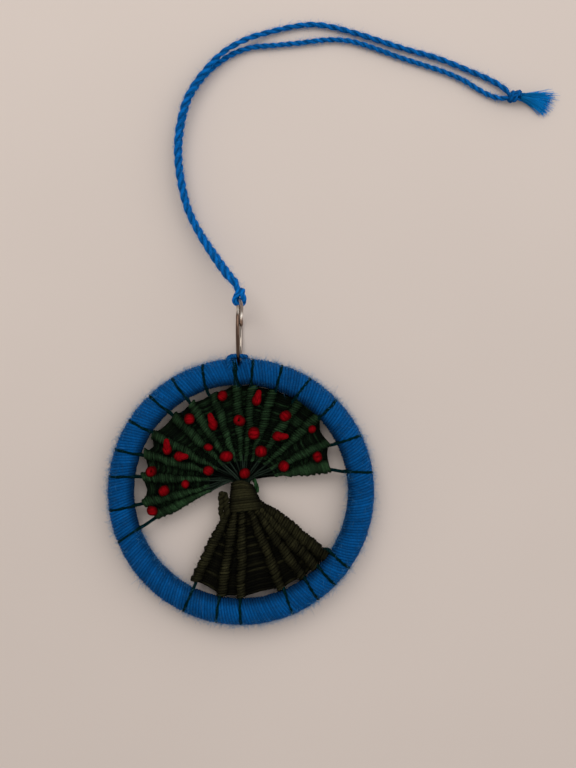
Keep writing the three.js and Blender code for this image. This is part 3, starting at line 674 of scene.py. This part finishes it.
def rim_place(angle, around, distance):
    """Points at an angle about the button, and at another and a distance about the rim's line."""
    angle, around, distance = np.broadcast_arrays(angle, around, distance)
    reach = RIM_RADIUS + distance * np.cos(around)
    places = (reach * np.cos(angle), reach * np.sin(angle), distance * np.sin(around))
    return np.stack(places, axis=-1) + RIM


def along_rim(angle):
    """Way along the rim at an angle about the button."""
    return np.stack((-np.sin(angle), np.cos(angle), np.zeros_like(angle)), axis=1)


def spoke_angle(spoke, around):
    """Angle of a spoke where it crosses the rim at this angle about the rim's middle line."""
    _, outer, inner = spoke
    share = (1 - np.cos(around)) / 2
    return np.radians(outer + (inner - outer) * share)


def beside_weave(angle):
    """Whether the crown or the trunk lies against the rim at this angle about the button."""
    degrees = np.degrees(angle) % 360
    ends = [(spokes[0][2], spokes[-1][2]) for spokes in (CROWN_SPOKES, TRUNK_SPOKES)]
    return np.any([(first < degrees) & (degrees < last) for first, last in ends], axis=0)


def bell(share):
    """One at nought, falling smoothly to nothing on both sides."""
    return np.exp(-share ** 2)


def rim_casing():
    """One length of wool wound round the craft ring, pressed in by the spokes and the wire."""
    bundle = Bundle()
    turn = np.arange(RIM_TURNS * TURN_STEPS + 1) / TURN_STEPS
    order = turn.astype(int)
    around = math.pi - turn % 1 * FULL
    angle = FIRST_TURN + turn / RIM_TURNS * FULL + TURN_SLANT / 2 * np.cos(around)
    distance = RIM_OUTER - WOOL_THICK + rng.normal(0, 0.035, RIM_TURNS + 1)[order]
    reach = RIM_RADIUS + distance * np.cos(around)
    for spoke in CROWN_SPOKES + TRUNK_SPOKES:
        apart = (angle - spoke_angle(spoke, around) + math.pi) % FULL - math.pi
        distance = distance - 0.26 * bell(reach * apart / 0.5)
    apart = (angle - WIRE_ANGLE + math.pi) % FULL - math.pi
    bulge = 0.34 * bell(reach * apart / 1.9) - 0.5 * bell(reach * apart / 0.5)
    distance = distance + bell((around - WIRE_AROUND) / 0.6) * bulge
    line = rim_place(angle, around, distance)
    wide = WOOL_HALF_WIDTH * FULL * reach / RIM_TURNS
    # Painted shade: the inner side of each turn is darker, more so where the crown or trunk lies
    # against the rim.
    inner = np.clip((-np.cos(around) - 0.4) / 0.55, 0, 1)
    inner = inner ** 2 * (3 - 2 * inner) * np.where(beside_weave(angle), 0.7, 0.45)
    tint = rng.uniform(0.72, 1.0, RIM_TURNS + 1)[order] * (1 - inner)
    bundle.tube(line, WOOL_THICK, 6, across=along_rim(angle), wide=wide, twist=3.0, tint=tint)
    bundle.piece("rim_casing", casing_yarn, "button", "casing_yarn", "rim_winding")


def rim_fuzz():
    """Halo of loose wool: most at the rim's edges, and little and darker on top."""
    many = RIM_FUZZ
    angle = rng.uniform(0, FULL, many)
    on_top = rng.uniform(0, 1, many) < 0.2
    inside = (rng.uniform(0, 1, many) < 0.45) & ~beside_weave(angle)
    edge = np.where(inside, 180, 0) + rng.normal(0, 26, many)
    around = np.radians(np.where(on_top, rng.uniform(30, 150, many), edge))
    base = rim_place(angle, around, RIM_OUTER - 0.12)
    outward = unit(base - rim_place(angle, around, 0.0))
    tint = np.where(on_top, 0.3, 1.0)[:, None] * np.ones(RIM_FUZZ_STEPS)
    bundle = fuzz(base, outward, along_rim(angle), (3.0, 0.35), (2.2, 0.25), (0.014, 0.026),
                  RIM_FUZZ_STEPS, tint)
    bundle.piece("rim_fuzz", casing_fuzz, "button", "casing_yarn")


rim_casing()
rim_fuzz()

# Spokes and the ribs woven on them

# Tips and roots of the ribs, and the line along which the threads gather, in the photograph
CROWN_TIPS = [
    (328, 465.5), (327.5, 442.5), (319.5, 415.5), (299.5, 399.5), (273, 390.5), (252.5, 385.5),
    (236, 385), (213.5, 394), (191, 403.5), (174, 416), (153, 434), (144.5, 454.5),
    (142.5, 477.5), (144, 503.5), (156, 515.5),
]
TRUNK_TIPS = [
    (195, 580), (220.5, 595), (241, 597), (281, 588), (302, 577.5), (315.5, 566.5), (326, 556),
]
TRUNK_ROOTS = [
    (229, 509), (236, 507.5), (242.5, 506.5), (248.5, 505.5), (253, 504.5), (256.5, 503.5),
    (259, 502.5),
]
GATHER = [(251.5, 478.6), (231.0, 480.2)]

# How far the rows sag in each gap between ribs
CROWN_SAGS = (0.4, 1.2, 0.4, 0.4, 0.4, 0.4, 0.4, 0.5, 0.5, 0.6, 1.5, 1.2, 1.1, 0.7)
TRUNK_SAGS = (0.4,) * 6

NECK_LEAN = math.radians(10)
NECK_TOP, NECK_LENGTH = 0.95, 6.8
NECK_FOOT = NECK_TOP + NECK_LENGTH
NECK_WIDTHS, NECK_THICKNESS = (4.9, 8.9), 3.4
NECK_LOOPS, NECK_STEPS, NECK_YARN = 12, 28, 0.35
RIB_WIDTH, RIB_THICKNESS, RIB_ROOT_THICKNESS = 2.45, 2.5, 1.4
BROAD_RIBS = {"07": 3.5, "08": 3.2, "09": 2.8, "14": 2.6}
YARN_SIDES, YARN_TWIST = 6, 2.6
CROWN_FUZZ, TRUNK_FUZZ = 2400, 1400


def neck_place(across, down, height=0.0):
    """Point of the neck: across from its middle line and down from the hub."""
    x = across * math.cos(NECK_LEAN) + down * math.sin(NECK_LEAN)
    y = across * math.sin(NECK_LEAN) - down * math.cos(NECK_LEAN)
    return HUB + (x, y, height)


class Rib:
    """Line of one rib from its root by the hub or the neck to its tip near the rim."""

    def __init__(self, spoke, tip, root, start_width, flare):
        self.spoke = spoke
        self.root, self.tip = root, tip
        self.along = unit(tip - root)
        self.length = float(np.linalg.norm(tip - root))
        self.across = np.cross(UP, self.along)
        self.start_width, self.flare = start_width, flare
        self.width = BROAD_RIBS.get(spoke[0], RIB_WIDTH)
        self.meet = rim_place(math.radians(spoke[2]), math.pi, LEG_MEET)

    def half_width(self, at):
        places = (0, self.flare, self.length - 0.8, self.length)
        widths = (self.start_width, self.width, self.width, self.width * 0.88)
        return np.interp(at, places, widths) / 2

    def half_height(self, at):
        return np.interp(at, (0, self.flare * 0.6), (RIB_ROOT_THICKNESS, RIB_THICKNESS)) / 2


def gather_place(order):
    """Place on the gathering line of the crown's thread of this order."""
    right, left = (from_photo(*place) for place in GATHER)
    return right + (left - right) * order / (len(CROWN_SPOKES) - 1)


def crown_rib(order, spoke, tip):
    """Rib of the crown, which starts nearer to the hub at the top than at the sides."""
    tip = from_photo(*tip)
    along = unit(tip - gather_place(order))
    bare = 4.2 + 1.4 * along[0] ** 2
    root = gather_place(order) + along * bare
    return Rib(spoke, tip, root, start_width=0.85, flare=9.0)


crown_ribs = [
    crown_rib(order, spoke, tip)
    for order, (spoke, tip) in enumerate(zip(CROWN_SPOKES, CROWN_TIPS))
]
trunk_ribs = [
    Rib(spoke, from_photo(*tip), from_photo(*root), start_width=1.5, flare=7.0)
    for spoke, tip, root in zip(TRUNK_SPOKES, TRUNK_TIPS, TRUNK_ROOTS)
]


def spoke_piece(rib):
    """Thread that comes out of its rib, round the rim between the turns and back into the rib."""
    name = rib.spoke[0]
    bundle = Bundle()
    leaves = math.pi - math.acos(LOOP_RADIUS / LEG_MEET)
    around = np.linspace(leaves, -leaves, 25)
    loop = rim_place(spoke_angle(rib.spoke, around), around, LOOP_RADIUS)
    leg = np.array([rib.tip - rib.along * 6.0, rib.tip - rib.along * 2.5, rib.meet])
    top = leg + UP * LEG_LIFT
    path = np.vstack((evenly(top, 1.0), loop, evenly((top - 2 * UP * LEG_LIFT)[::-1], 1.0)))
    offsets = (-DOUBLED_ASIDE, DOUBLED_ASIDE) if name == DOUBLED_SPOKE else (0.0,)
    for aside in offsets:
        line = evenly(path + rib.across * aside)
        bundle.plied(line, THREAD_RADIUS, lay=1.7, plies=3, sides=6, tint=rng.uniform(0.3, 0.4))
    bundle.piece("spoke_thread_" + name, spoke_thread, "button", "spoke_thread", "spoke_" + name)


def wander(count):
    """Slow random changes about nought, one for each row."""
    return np.convolve(rng.normal(0, 1, count + 4), np.full(5, 0.36), "valid")


def groove_shade(line, ways, sides):
    """Share of light round a tube: less where it faces along the rib, against the next turn."""
    _, side, up = carried(line)
    return np.interp(np.abs(facing(ways, side, up, sides)), (0.25, 0.95), (1.0, 0.2))


def woven(ribs, rows, yarn, sags, web, flecks):
    """Back-stitched rows: each goes round every rib in turn and on under the next.

    Between the ribs the yarn has radius web and is painted nearly black as shade, and a share of
    flecks has a painted highlight.
    """
    bundle = Bundle()
    loop = np.radians(np.linspace(-100, 280, 13))
    over = np.clip(np.sin(loop), 0, 1)
    shifts = [0.15 * wander(rows) for _ in ribs]
    swells = [1 + 0.1 * wander(rows) for _ in ribs]
    lumps = [np.clip(1 + 0.25 * wander(rows), 0.45, 1.3) for _ in ribs]
    for row in range(rows):
        path, tint, size, ways = [], [], [], []
        light = rng.uniform(0.8, 1.0)
        for order, rib in enumerate(ribs):
            pitch = rib.length / rows
            at = (row + 0.5) * pitch + rng.normal(0, 0.08 * pitch)
            thick = yarn * rng.uniform(0.92, 1.08)
            ragged = rng.uniform(-0.16, 0.2)
            wide = max(rib.half_width(at) - thick, 0.16)
            high = max(rib.half_height(at) - thick, 0.3) * rng.uniform(0.86, 1.08)
            if order in (0, len(ribs) - 1):
                wide *= 1 + 0.12 * math.sin(row * FULL / 3.3) + 0.45 * ragged
            else:
                wide *= swells[order][row] * (1 + ragged)
            climb = pitch * (loop - loop[0]) / (loop[-1] - loop[0]) * 0.5
            step = at + climb + rng.normal(-0.24, 0.05) * np.cos(loop)
            aside = shifts[order][row] + wide * np.cos(loop)
            place = rib.root + rib.along * step[:, None] + rib.across * aside[:, None]
            path.append(place + UP * (high * np.sin(loop))[:, None])
            # Painted shade: each wrap is darker on its sides and underside, with full tint only
            # over the rib.
            tint.append(light * lumps[order][row] * rng.uniform(0.4, 1.25) * over ** 1.4)
            size.append(np.full(len(loop), thick))
            ways.append(np.tile(rib.along, (len(loop), 1)))
            if order + 1 < len(ribs):
                following = ribs[order + 1]
                ahead = following.along * (row + 0.5) / rows * following.length
                middle = (place[-1] + following.root + ahead) / 2
                middle -= unit(rib.along + following.along) * sags[order] * (row / rows) ** 2
                middle[2] = RIM[2] - 0.75 * high
                path.append(middle[None])
                # Painted shade makes the yarn between the ribs nearly black; some points get a
                # painted highlight fleck.
                painted_web_shade = rng.uniform(0.0, 0.15) * light
                fleck = rng.uniform(0.3, 0.6) if rng.uniform() < flecks else 0.0
                tint.append([painted_web_shade + fleck])
                size.append([web])
                ways.append(rib.along[None])
        line = smooth(np.vstack(path), 2)
        spans = np.arange(len(line)) / 2
        tint, size = (
            np.interp(spans, np.arange(len(values)), values)
            for values in (np.concatenate(tint), np.concatenate(size))
        )
        ways = np.vstack(ways)[(spans + 0.25).astype(int)]
        # Painted shade in the grooves between the turns.
        tint = tint[:, None] * groove_shade(line, ways, YARN_SIDES)
        bundle.tube(line, size, YARN_SIDES, twist=YARN_TWIST, tint=tint)
    return bundle


def weave_fuzz(ribs, many, name, material, slot):
    """Fine loose fibres on the upper side of the ribs."""
    chosen = rng.integers(0, len(ribs), many)
    share = rng.uniform(0.1, 1.0, many)
    turn = np.radians(rng.uniform(10, 170, many))
    base, outward, along = [], [], []
    for k, at, angle in zip(chosen, share, turn):
        rib = ribs[k]
        out = rib.across * math.cos(angle) + UP * math.sin(angle)
        half = rib.half_width(at * rib.length)
        base.append(rib.root + rib.along * at * rib.length + out * half * 0.93)
        outward.append(out)
        along.append(rib.across)
    base, outward, along = (np.array(ways) for ways in (base, outward, along))
    bundle = fuzz(base, outward, along, (3.0, 0.25), (2.0, 0.1), (0.01, 0.02))
    bundle.piece(name, material, "button", slot)


def hub_threads():
    """Bare threads that gather at the hub and go down into the neck."""
    bundle = Bundle()

    def thread(points, parts, radius, tint, shift=0.0):
        line = evenly(smooth(points, parts) + shift, 0.25)
        bundle.plied(line, radius, lay=1.5, plies=3, sides=5, tint=tint)

    for order, rib in enumerate(crown_ribs):
        gather = gather_place(order)
        heap = rng.uniform(-0.1, 0.45)
        into = gather + (neck_place(0, 2.6) - HUB) * (1, 1, 0)
        into = into - (gather - HUB) * (0.3, 0, 0) - UP * rng.uniform(0.0, 0.6)
        for aside in (-0.25, 0.25):
            shift = rib.across * aside
            bare = [rib.root + rib.along * 1.6 + shift + UP * 0.5, rib.root + shift + UP * 0.3,
                    gather + shift * 0.8 + UP * heap, into]
            thread(bare, 8, 0.2, rng.uniform(0.0, 1.0) ** 1.3)
        # Painted shade: the thread under each rib is nearly black.
        under = [gather - UP * 0.35, rib.root - UP * 0.35, rib.root + rib.along * 3.5 - UP * 0.3]
        thread(under, 6, 0.36, rng.uniform(0.0, 0.12))
    # Painted shade: the threads lower down between the ribs are nearly black.
    for order, (first, second) in enumerate(zip(crown_ribs, crown_ribs[1:])):
        start = (gather_place(order) + gather_place(order + 1)) / 2 - UP * 0.3
        end = (first.root + second.root + 3.0 * (first.along + second.along)) / 2 - UP * 0.55
        for aside in (-0.18, 0.18):
            lower = [start, (start + end) / 2 - UP * 0.25, end]
            thread(lower, 6, 0.27, rng.uniform(0.0, 0.12), first.across * aside)
    # Painted shade: the core of threads under the neck is nearly black.
    core = smooth([neck_place(0, down) for down in (0.4, 3.5, NECK_FOOT + 0.2)], 8)
    across = np.repeat((neck_place(1, 0) - HUB)[None], len(core), axis=0)
    bundle.tube(core, 0.95, 10, across=across, wide=np.linspace(1.6, 3.2, len(core)), tint=0.1)
    bundle.piece("hub_threads", hub_thread, "button", "spoke_thread", "thread_crossing")


def neck_wrap():
    """Yarn wound round the neck, whose first turns droop at the sides."""
    bundle = Bundle()
    loose = rng.normal(0, 0.06, NECK_LOOPS + 1)
    line = []
    for i in range(NECK_LOOPS * NECK_STEPS + 1):
        turn = i / NECK_STEPS
        angle = turn * FULL
        droop = 0.5 * math.cos(angle) ** 2 * (1 - turn / NECK_LOOPS)
        droop += 0.9 * max(math.cos(angle), 0) ** 2 * max(1 - turn / 4, 0)
        slip = np.interp(turn, np.arange(NECK_LOOPS + 1), loose)
        down = NECK_TOP - 0.3 + (NECK_LENGTH + 0.4) * turn / NECK_LOOPS
        down = down + 0.3 * math.cos(angle) + droop + slip
        half = np.interp(down, (NECK_TOP, NECK_FOOT), NECK_WIDTHS) / 2 - NECK_YARN
        height = (NECK_THICKNESS / 2 - NECK_YARN) * math.sin(angle)
        line.append(neck_place(half * math.cos(angle), down, height))
    turns = np.repeat(rng.uniform(0.33, 0.9, NECK_LOOPS + 1), NECK_STEPS)[:len(line)]
    # Painted shade: each turn is darker at the neck's sides.
    edges = np.abs(np.cos(np.arange(len(line)) / NECK_STEPS * FULL))
    tint = turns * np.interp(edges, (0.5, 0.95), (1.0, 0.1))
    bundle.tube(line, NECK_YARN, 7, twist=YARN_TWIST, tint=tint)
    bundle.piece("neck_wrap", trunk_yarn, "button", "trunk_yarn", "neck_winding")


def yarn_tail(name, material, slot, node, places, radius, lay, tint=None):
    """Short length of two-ply yarn beside the neck, by its places in the photograph."""
    bundle = Bundle()
    line = evenly(smooth([from_photo(*place) for place in places], 8))
    bundle.plied(line, radius, lay, sides=8, tint=tint)
    bundle.piece(name, material, "button", slot, node)


for each_rib in crown_ribs + trunk_ribs:
    spoke_piece(each_rib)
crown = woven(crown_ribs, rows=31, yarn=0.35, sags=CROWN_SAGS, web=0.4, flecks=0.32)
crown.piece("crown_yarn", crown_yarn, "button", "crown_yarn", "crown_weave")
trunk = woven(trunk_ribs, rows=32, yarn=0.38, sags=TRUNK_SAGS, web=0.48, flecks=0.2)
trunk.piece("trunk_yarn", trunk_yarn, "button", "trunk_yarn", "trunk_weave")
weave_fuzz(crown_ribs, CROWN_FUZZ, "crown_fuzz", crown_yarn, "crown_yarn")
weave_fuzz(trunk_ribs, TRUNK_FUZZ, "trunk_fuzz", trunk_yarn, "trunk_yarn")
hub_threads()
neck_wrap()
yarn_tail("trunk_tail", trunk_yarn, "trunk_yarn", "trunk_yarn_end", [
    (228.2, 514.5, 0.6), (226.8, 508.0, 0.8), (226.6, 501.0, 0.9), (225.6, 495.2, 0.9),
    (222.8, 493.0, 0.8), (220.9, 496.0, 0.6), (221.4, 501.0, 0.6), (221.9, 505.5, 0.5),
    (221.0, 510.5, 0.4), (223.2, 519.0, 0.2),
], radius=0.74, lay=2.4, tint=0.6)
yarn_tail("crown_tail", bright_yarn, "bright_yarn", "crown_yarn_end", [
    (253.5, 479.0, 0.1), (255.4, 482.5, 0.1), (256.6, 487.5, -0.1), (257.6, 492.5, -0.3),
], radius=0.54, lay=4.2)

# Berries: place in the photograph, length, width, turn, and reach of a stitch beyond the knot

BERRIES = [
    (223, 395.5, 2.9, 2.6, 80, 0.0), (257, 400, 3.2, 2.5, 75, 0.9), (285, 416, 2.9, 2.8, 0, 0.0),
    (190, 419, 2.9, 2.7, 0, 0.0), (213.5, 424, 3.2, 2.4, 108, 1.3), (239, 420, 3.0, 2.9, 90, 0.0),
    (254, 433, 3.2, 3.1, 0, 0.0), (278, 436, 3.1, 2.6, 0, 1.0), (312, 429, 2.3, 2.1, 60, 0.0),
    (261, 451, 3.2, 3.1, 40, 0.0), (168, 449, 3.0, 2.4, 95, 1.1), (180, 456, 2.9, 2.7, 0, 0.5),
    (209, 447, 2.4, 2.0, 0, 0.0), (227, 456, 3.5, 2.9, 10, 0.0), (209, 470, 2.9, 2.6, 0, 0.0),
    (152, 471, 2.9, 2.5, 80, 0.0), (245, 473, 2.9, 2.8, 60, 0.0), (284, 466, 3.0, 2.8, 70, 0.0),
    (317, 456, 2.7, 2.5, 70, 0.0), (186, 483.5, 2.4, 2.2, 80, 0.0), (165, 490, 2.9, 2.7, 60, 0.0),
    (153, 510, 3.0, 2.5, 160, 0.0),
]
BERRY_THREAD = 0.54
BERRY_SIDES = 10
BERRY_STEP = 0.14
BERRY_SIZE = 0.88
BERRY_HEIGHT, HUB_BERRY_HEIGHT = 1.16, 0.62
BERRY_COIL, BERRY_COIL_STEPS = 1.15, 24
OPEN_BERRIES = (5, 15, 18)
BERRY_ON_HUB = 16


def berry(order, x, y, length, width, turn, tail):
    """French knot: thread wound round below and drawn over the top, or left open in the middle."""
    bundle = Bundle()
    turn = math.radians(turn)
    long_way = np.array((math.cos(turn), math.sin(turn), 0.0))
    short_way = np.cross(UP, long_way)
    middle = from_photo(x, y, HUB_BERRY_HEIGHT if order == BERRY_ON_HUB else BERRY_HEIGHT)
    half_long, half_short = (BERRY_SIZE * size / 2 - BERRY_THREAD for size in (length, width))
    lie = rng.uniform(-1.1, 1.1)

    def place(ahead, aside, height, turned=0.0):
        along = ahead * math.cos(turned) - aside * math.sin(turned)
        across = aside * math.cos(turned) + ahead * math.sin(turned)
        return (middle + long_way * half_long * along + short_way * half_short * across
                + UP * height)

    start = rng.uniform(0, FULL)
    coil = []
    for k in range(BERRY_COIL_STEPS + 1):
        angle = start + FULL * BERRY_COIL * k / BERRY_COIL_STEPS
        coil.append(place(math.cos(angle), math.sin(angle), 0.05 + 0.3 * k / BERRY_COIL_STEPS))
    # Painted shade: the winding below the strands is darker.
    bundle.tube(evenly(smooth(coil, 3), BERRY_STEP), BERRY_THREAD, BERRY_SIDES, twist=1.5,
                tint=rng.uniform(0.6, 0.8), round_ends=True)
    strands = 2 if order in OPEN_BERRIES else 3
    spacing = 1.9 if strands == 2 else 0.85
    for k in range(strands):
        aside = (k - (strands - 1) / 2) * spacing + rng.normal(0, 0.1)
        bow = 0.2 * aside + rng.normal(0, 0.1)
        top = 0.8 - 0.16 * abs(aside) + rng.normal(0, 0.05)
        foot, bend = (aside * 0.7, -0.1), (aside + bow * 0.6, 0.66 * top)
        stops = ((-0.9, *foot), (-0.6, *bend), (0, aside + bow, top), (0.6, *bend), (0.9, *foot))
        arch = smooth([place(*stop, lie) for stop in stops], 6)
        bundle.tube(evenly(arch, BERRY_STEP), BERRY_THREAD * rng.uniform(0.95, 1.12),
                    BERRY_SIDES, twist=1.2, round_ends=True)
    # Painted shade: each berry is lighter in the middle and darker towards its rim.
    reach, breadth = BERRY_SIZE * length / 2, BERRY_SIZE * width / 2
    spread = np.concatenate(bundle.points) - middle
    edge = np.hypot(spread @ long_way / reach, spread @ short_way / breadth)
    bundle.tint = [np.concatenate(bundle.tint) * np.interp(edge, (0.45, 1.05), (1.0, 0.15))]
    if tail:
        stitch = [
            middle + UP * 0.9, middle + long_way * reach * 0.7 + UP * 0.75,
            middle + long_way * (reach + tail * 0.5) + UP * 0.35,
            middle + long_way * (reach + tail) - UP * 0.3,
        ]
        line = evenly(smooth(stitch, 6), BERRY_STEP)
        share = np.linspace(0, 1, len(line))
        swell = np.interp(share, (0, 0.35, 0.8, 1), (0.5, 0.82, 0.62, 0.2))
        bundle.tube(line, swell, BERRY_SIDES, twist=1.0)
    name = f"{order + 1:02d}"
    bundle.piece("berry_" + name, berry_thread, "button", "berry_thread", "berry_knot_" + name)


for index, values in enumerate(BERRIES):
    berry(index, *values)

# Wire ring and the stitch that holds it

WIRE_START, WIRE_TURN, WIRE_POINTS = 84, 403, 190
WIRE_STEP_ASIDE, WIRE_STEP_TURN = 2.06, math.radians(50)

# Angle along the wire, from its lower end round to its upper one, and its painted shine there:
# painted glints near the top on both ends, and a paler painted reflection of the table on the lower
# half
WIRE_PAINTED_SHINE_AT = (-319, -312, -306, -301, -296, -180, -150, -90, -20, 20, 45, 59, 65, 69, 74)
WIRE_PAINTED_SHINE = (0.35, 0.5, 1.0, 0.6, 0.0, 0.0, 0.25, 0.4, 0.35, 0.3, 0.3, 0.4, 1.0, 0.5, 0.0)

# Ends of the stitch about the button, how deep it is seated, and where its strands cross the wire
CATCH_LEFT, CATCH_RIGHT = math.radians(95.0), math.radians(87.9)
CATCH_SEAT, CATCH_CORNER = 2.5, 0.008
CATCH_STRANDS = ((3.75, math.radians(20)), (3.36, math.radians(-6)))


def wire_ring():
    """Wire that goes once round and a little more, so its ends lie side by side."""
    bundle = Bundle()
    turn = np.radians(np.linspace(WIRE_START, WIRE_START - WIRE_TURN, WIRE_POINTS))
    step = np.clip(turn / WIRE_STEP_TURN, 0, 1)
    aside = WIRE_STEP_ASIDE * RING_WIRE * step ** 2 * (3 - 2 * step)
    places = (aside, RING_RADIUS * np.cos(turn), RING_RADIUS * np.sin(turn))
    line = RING_MIDDLE + np.stack(places, axis=1)
    radius = np.full(len(line), RING_WIRE)
    radius[[0, -1]] *= 0.55
    radius[[1, -2]] *= 0.9
    # Painted shine: painted glints, and a painted reflection of the table on the lower half.
    painted_shine = np.interp(np.degrees(turn), WIRE_PAINTED_SHINE_AT, WIRE_PAINTED_SHINE)
    bundle.tube(line, radius, 16, tint=painted_shine)
    bundle.piece("wire_ring", ring_wire, "hanger", "ring_wire", "hanging_ring")


def ring_catch():
    """Two strands of casing yarn at the rim's outer edge, one over the wire and one under it."""
    bundle = Bundle()
    left, right, seat, eighth = CATCH_LEFT, CATCH_RIGHT, CATCH_SEAT, FULL / 8
    for bar, lean in CATCH_STRANDS:
        stops = [
            (left, math.pi - eighth, seat), (left, math.pi / 2, seat),
            (left, lean + eighth, (seat + bar) / 2), (left - CATCH_CORNER, lean, bar),
            (right + CATCH_CORNER, lean, bar), (right, lean - eighth, (seat + bar) / 2),
            (right, -math.pi / 2, seat), (right, -math.pi + eighth, seat),
        ]
        line = evenly(smooth([rim_place(*stop) for stop in stops], 8))
        bundle.plied(line, radius=0.58, lay=2.4, plies=3)
    bundle.piece("ring_catch", casing_yarn, "button", "casing_yarn", "ring_stitch")


wire_ring()
ring_catch()

# The craft ring inside the casing keeps its CAD shape
core_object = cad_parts["core_ring"]
core_object.data.materials.clear()
core_object.data.materials.append(ring_core)

# Table, in metres

TABLE_SIZE, TABLE_DROP = 4.0, 0.0001
bpy.ops.mesh.primitive_plane_add(size=TABLE_SIZE, location=(0, 0, -TABLE_DROP))
table = bpy.context.object
table.name = "table"
table.data.materials.append(table_material(linear(207, 196, 190)))
